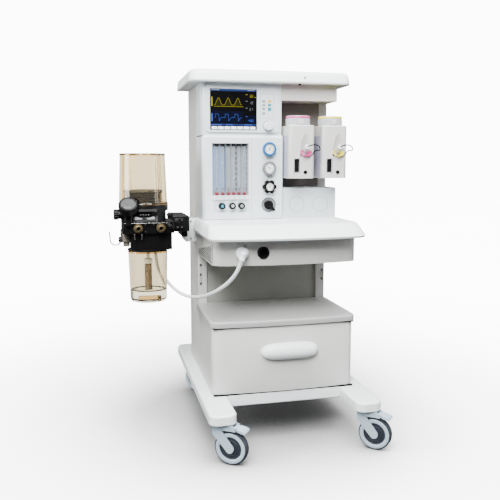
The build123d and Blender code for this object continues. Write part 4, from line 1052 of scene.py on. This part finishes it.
lining.turned(scaled([(0, -20), (13.9, -20), (13.9, -19), (4, -19), (3, -12), (0, -12)]),
              (socket.cx, socket.y0, socket.z1 - 0.022), FORWARD, 48)
lining.make("socket_trim", "trolley", black_plastic, "black_plastic")
vent, holes = Pile(), Pile()
BACK = Vector((0, -1, 0))
VENT_OUTLINE = [(-0.060, 0.005), (0.255, 0.005), (0.255, 0.080), (-0.060, 0.030)]
vent.plate(VENT_OUTLINE, (outlet.x0, 0, outlet.z0), BACK, UP, 0.0010)
vent.make("vent_plate", "trolley", drawer_paint, "light_grey_panel", 0.0004)
PITCH, HOLE = 0.0095, 0.0036
for row in range(9):
    level = 0.0105 + row * PITCH * 0.866
    for step in range(34):
        across = -0.054 + (step + 0.5 * (row % 2)) * PITCH
        if across < 0.251 and level < 0.024 + (across + 0.060) * 0.1587:
            holes.turned([(0, 0.0003), (HOLE, 0.0003), (HOLE, 0), (0, 0)],
                         (outlet.x0 - 0.0010, -across, outlet.z0 + level), Vector((-1, 0, 0)), 6)
holes.make("vent_holes", "trolley", black_plastic, "black_plastic")
print("vent and ports done")

# %% [markdown]
# ## Drawer handle and lower panel
# The handle is one soft moulding with a hollow under it for the fingers. A sweep of one cross section along its
# length, shrunk smoothly at both ends, gives round ends that a bevel couldn't. The lower panel carries two blank
# covers. Its top edge lies well below the vaporizers, so the dark bay shows between them. The rigid model's panel
# is taller there, so a panel of the seen height takes its place.

# %% Smooth drawer handle, hollow from below
grip = span("drawer_handle")
HANDLE_SECTION = [(math.cos(math.radians(a)) ** 0.8, math.sin(math.radians(a))) for a in range(89, -1, -8)]
HANDLE_SECTION += [(math.cos(math.radians(a)) ** 0.8, -math.sin(math.radians(-a)) ** 1.1) for a in range(-8, -70, -8)]
HANDLE_SECTION += [(0.52, -0.84), (0.62, -0.60), (0.62, -0.20), (0.45, 0.12), (0.02, 0.22)]
handle, loops = Pile(), []
for step in range(41):
    along = -math.cos(math.pi * (0.5 + step) / 41)
    share = (1 - abs(along) ** 4.6) ** 0.5
    loops.append([(grip.cx + along * (grip.x1 - grip.x0) / 2, grip.y1 - forward * (grip.y1 - grip.y0) * share,
                   grip.cz + upward * (grip.z1 - grip.z0) / 2 * share) for forward, upward in HANDLE_SECTION])
handle.loops(loops)
handle.make("handle_grip", "drawer", moulded_white, "white_moulding", angle=50, replaces=["drawer_handle"])
print("handle", round(grip.x1 - grip.x0, 3), "m long")

# %% Lower panel, its top edge well below the vaporizers
front_panel = span("lower_panel")
LOWER_TOP = 0.966
face = Pile().block((front_panel.x0, front_panel.y0, front_panel.z0), (front_panel.x1, front_panel.y1, LOWER_TOP))
face.make("lower_front_panel", "trolley", cover_white, "light_grey_panel", 0.003, replaces=["lower_panel"])
print("lower panel", round(LOWER_TOP - front_panel.z0, 3), "m high")

# %% Lamp, shelf mark, post holes and rear screws
shelf, left_post, right_post, rear = span("top_shelf"), span("post_left"), span("post_right"), span("rear_cover")
dress(["top_shelf", "worktop"], moulded_white)
for part in ("top_shelf", "worktop"):
    soften(frame["nodes"][part], 0.006, 13)
# The cabinet shelf's darker grey holds painted shade from the worktop above it.
dress(["cabinet_shelf"], shelf_grey_painted_shade, 0.003)
drawer = span("drawer_front")
# Dark strips behind the drawer's top and bottom gaps: painted shadow in the seams.
seam_shadows = Pile()
for low, high in ((drawer.z1 + 0.0002, drawer.z1 + 0.0048), (drawer.z0 - 0.0058, drawer.z0 - 0.0002)):
    seam_shadows.block((drawer.x0 + 0.002, drawer.y0 + 0.006, low), (drawer.x1 - 0.002, drawer.y0 + 0.016, high))
seam_shadows.make("drawer_seam_shadows", "drawer", black_plastic, "black_rubber")
lamp = Pile().turned(scaled([(0, 5.5), (2.4, 5), (4.4, 3.2), (5.6, 0), (6.6, -0.6), (0, -0.6)]),
                     (0.252, -0.060, shelf.z0), -UP, 32)
lamp.make("shelf_lamp", "trolley", black_plastic, "black_plastic")
button = Pile().turned(scaled([(0, 0.8), (4.0, 0.8), (5.0, 0.2), (5.2, -1.5), (0, -1.5)]),
                       (0.268, shelf.y0 + 0.0055, 1.400), Vector((0, -0.940, 0.342)), 32)
button.make("shelf_mark", "trolley", grey_plastic, "light_grey_panel")
rings = Pile()
for x in (left_post.x0 + 0.012, right_post.x1 - 0.012):
    for z in (0.560, 0.600, 0.640):
        rings.turned(scaled([(3.0, 0.4), (3.4, 0.6), (4.6, 0.4), (5.0, 0), (3.0, 0.4)]), (x, left_post.y0, z),
                     FORWARD, 32)
rings.make("post_hole_rims", "trolley", black_plastic, "grey_metal")
screws = Pile()
for x in (rear.x0 + 0.012, rear.x1 - 0.012):
    for z in (0.24, 0.78, 1.32):
        screw(screws, (x, rear.y1, z), Vector((0, 1, 0)), 4.0)
screws.make("rear_screws", "trolley", steel, "steel")
trims = Pile()
low = span("lower_panel")
for x in (0.2513, 0.3533):
    trims.turned(scaled([(30, 0.6), (31, 1.1), (33, 1.1), (34, 0.2), (30, 0.6)]), (x, low.y0, 0.898), FORWARD, 72)
trims.make("round_cover_rings", "trolley", ring_grey, "light_grey_panel")
print("shelves and column trimmed")

# %% [markdown]
# ## Floor
# A plain pale floor catches the soft shadow. It glows a little more the further it is from the machine, so it
# meets the backdrop without a line; that glow is painted light, nil close to the machine. An ambient occlusion node
# paints shadow into the floor's colour and glow under the trolley. It's only for show, so the machine sees no bounce or
# reflection from it.

# %% Floor
floor_mesh = bmesh.new()
bmesh.ops.create_grid(floor_mesh, x_segments=8, y_segments=8, size=14)
floor_data = bpy.data.meshes.new("studio_floor")
floor_mesh.to_mesh(floor_data)
floor_mesh.free()
floor = bpy.data.objects.new("studio_floor", floor_data)
bpy.context.scene.collection.objects.link(floor)
FADE_REACH, BACKDROP_GLOW = 4.0, 12.0
paper = finish("pale_floor_painted_shadow", (0.86, 0.86, 0.86), 0.6, 0.004, 8, 0.02)
floor_data.materials.append(paper)
nodes, links = paper.node_tree.nodes, paper.node_tree.links
place, reach, glow, shade, painted_shadow_mix = (nodes.new(f"ShaderNode{kind}") for kind in (
    "TexCoord", "VectorMath", "ValToRGB", "AmbientOcclusion", "Mix"))
shorter, gain, depth, shadowed_glow = (nodes.new("ShaderNodeMath") for _ in range(4))
reach.operation, painted_shadow_mix.data_type = "LENGTH", "RGBA"
for node, operation, value in ((shorter, "DIVIDE", FADE_REACH), (gain, "MULTIPLY", BACKDROP_GLOW),
                               (depth, "POWER", 1.6), (shadowed_glow, "MULTIPLY", 1.0)):
    node.operation, node.inputs[1].default_value = operation, value
glow.color_ramp.elements[0].position, glow.color_ramp.elements[0].color = 0.10, (0, 0, 0, 1)
glow.color_ramp.elements[1].position, glow.color_ramp.elements[1].color = 0.80, (1, 1, 1, 1)
for position, level in ((0.17, 0.16), (0.30, 0.40), (0.45, 0.70)):
    glow.color_ramp.elements.new(position).color = (level, level, level, 1)
# Painted shadow: the ambient occlusion, raised to a power, darkens the floor's colour towards near black and dims its
# glow under the trolley.
shade.inputs["Distance"].default_value, shade.samples = 0.55, 8
painted_shadow_mix.inputs[6].default_value, painted_shadow_mix.inputs[7].default_value = (0.03, 0.03, 0.03, 1), (0.88, 0.88, 0.88, 1)
shader = nodes["Principled BSDF"]
shader.inputs["Emission Color"].default_value = (1, 1, 1, 1)
for source, target in ((place.outputs["Object"], reach.inputs[0]), (reach.outputs["Value"], shorter.inputs[0]),
                       (shorter.outputs[0], glow.inputs["Fac"]), (glow.outputs["Color"], gain.inputs[0]),
                       (shade.outputs["AO"], depth.inputs[0]), (depth.outputs[0], painted_shadow_mix.inputs["Factor"]),
                       (painted_shadow_mix.outputs[2], shader.inputs["Base Color"]), (gain.outputs[0], shadowed_glow.inputs[0]),
                       (depth.outputs[0], shadowed_glow.inputs[1]), (shadowed_glow.outputs[0], shader.inputs["Emission Strength"])):
    links.new(source, target)
print("floor laid")

# %% [markdown]
# ## A bright backdrop
# A product studio has white paper all round. One large shell is seen only by the camera. A second, dimmer one is
# seen only through clear plastic, because the full brightness would wash out the bellows in the dome. Neither
# lights the machine, so the softboxes keep control of its shading.

# %% Bright backdrop round the stage
dome_mesh = bmesh.new()
bmesh.ops.create_uvsphere(dome_mesh, u_segments=64, v_segments=32, radius=13)
dome_data = bpy.data.meshes.new("backdrop")
dome_mesh.to_mesh(dome_data)
dome_mesh.free()
backdrop = bpy.data.objects.new("backdrop", dome_data)
bpy.context.scene.collection.objects.link(backdrop)
dome_data.materials.append(lit("backdrop_white", (1, 1, 1), BACKDROP_GLOW))
surround = backdrop.copy()
surround.name, surround.data, surround.scale = "surround", dome_data.copy(), (1.04, 1.04, 1.04)
surround.data.materials[0] = lit("surround_white", (1, 1, 1), 2.8)
bpy.context.scene.collection.objects.link(surround)
for stage_piece in (floor, backdrop, surround):
    stage_piece.visible_diffuse = stage_piece.visible_glossy = stage_piece.visible_transmission = False
backdrop.visible_shadow = surround.visible_shadow = surround.visible_camera = False
surround.visible_transmission = True
print("backdrop up")
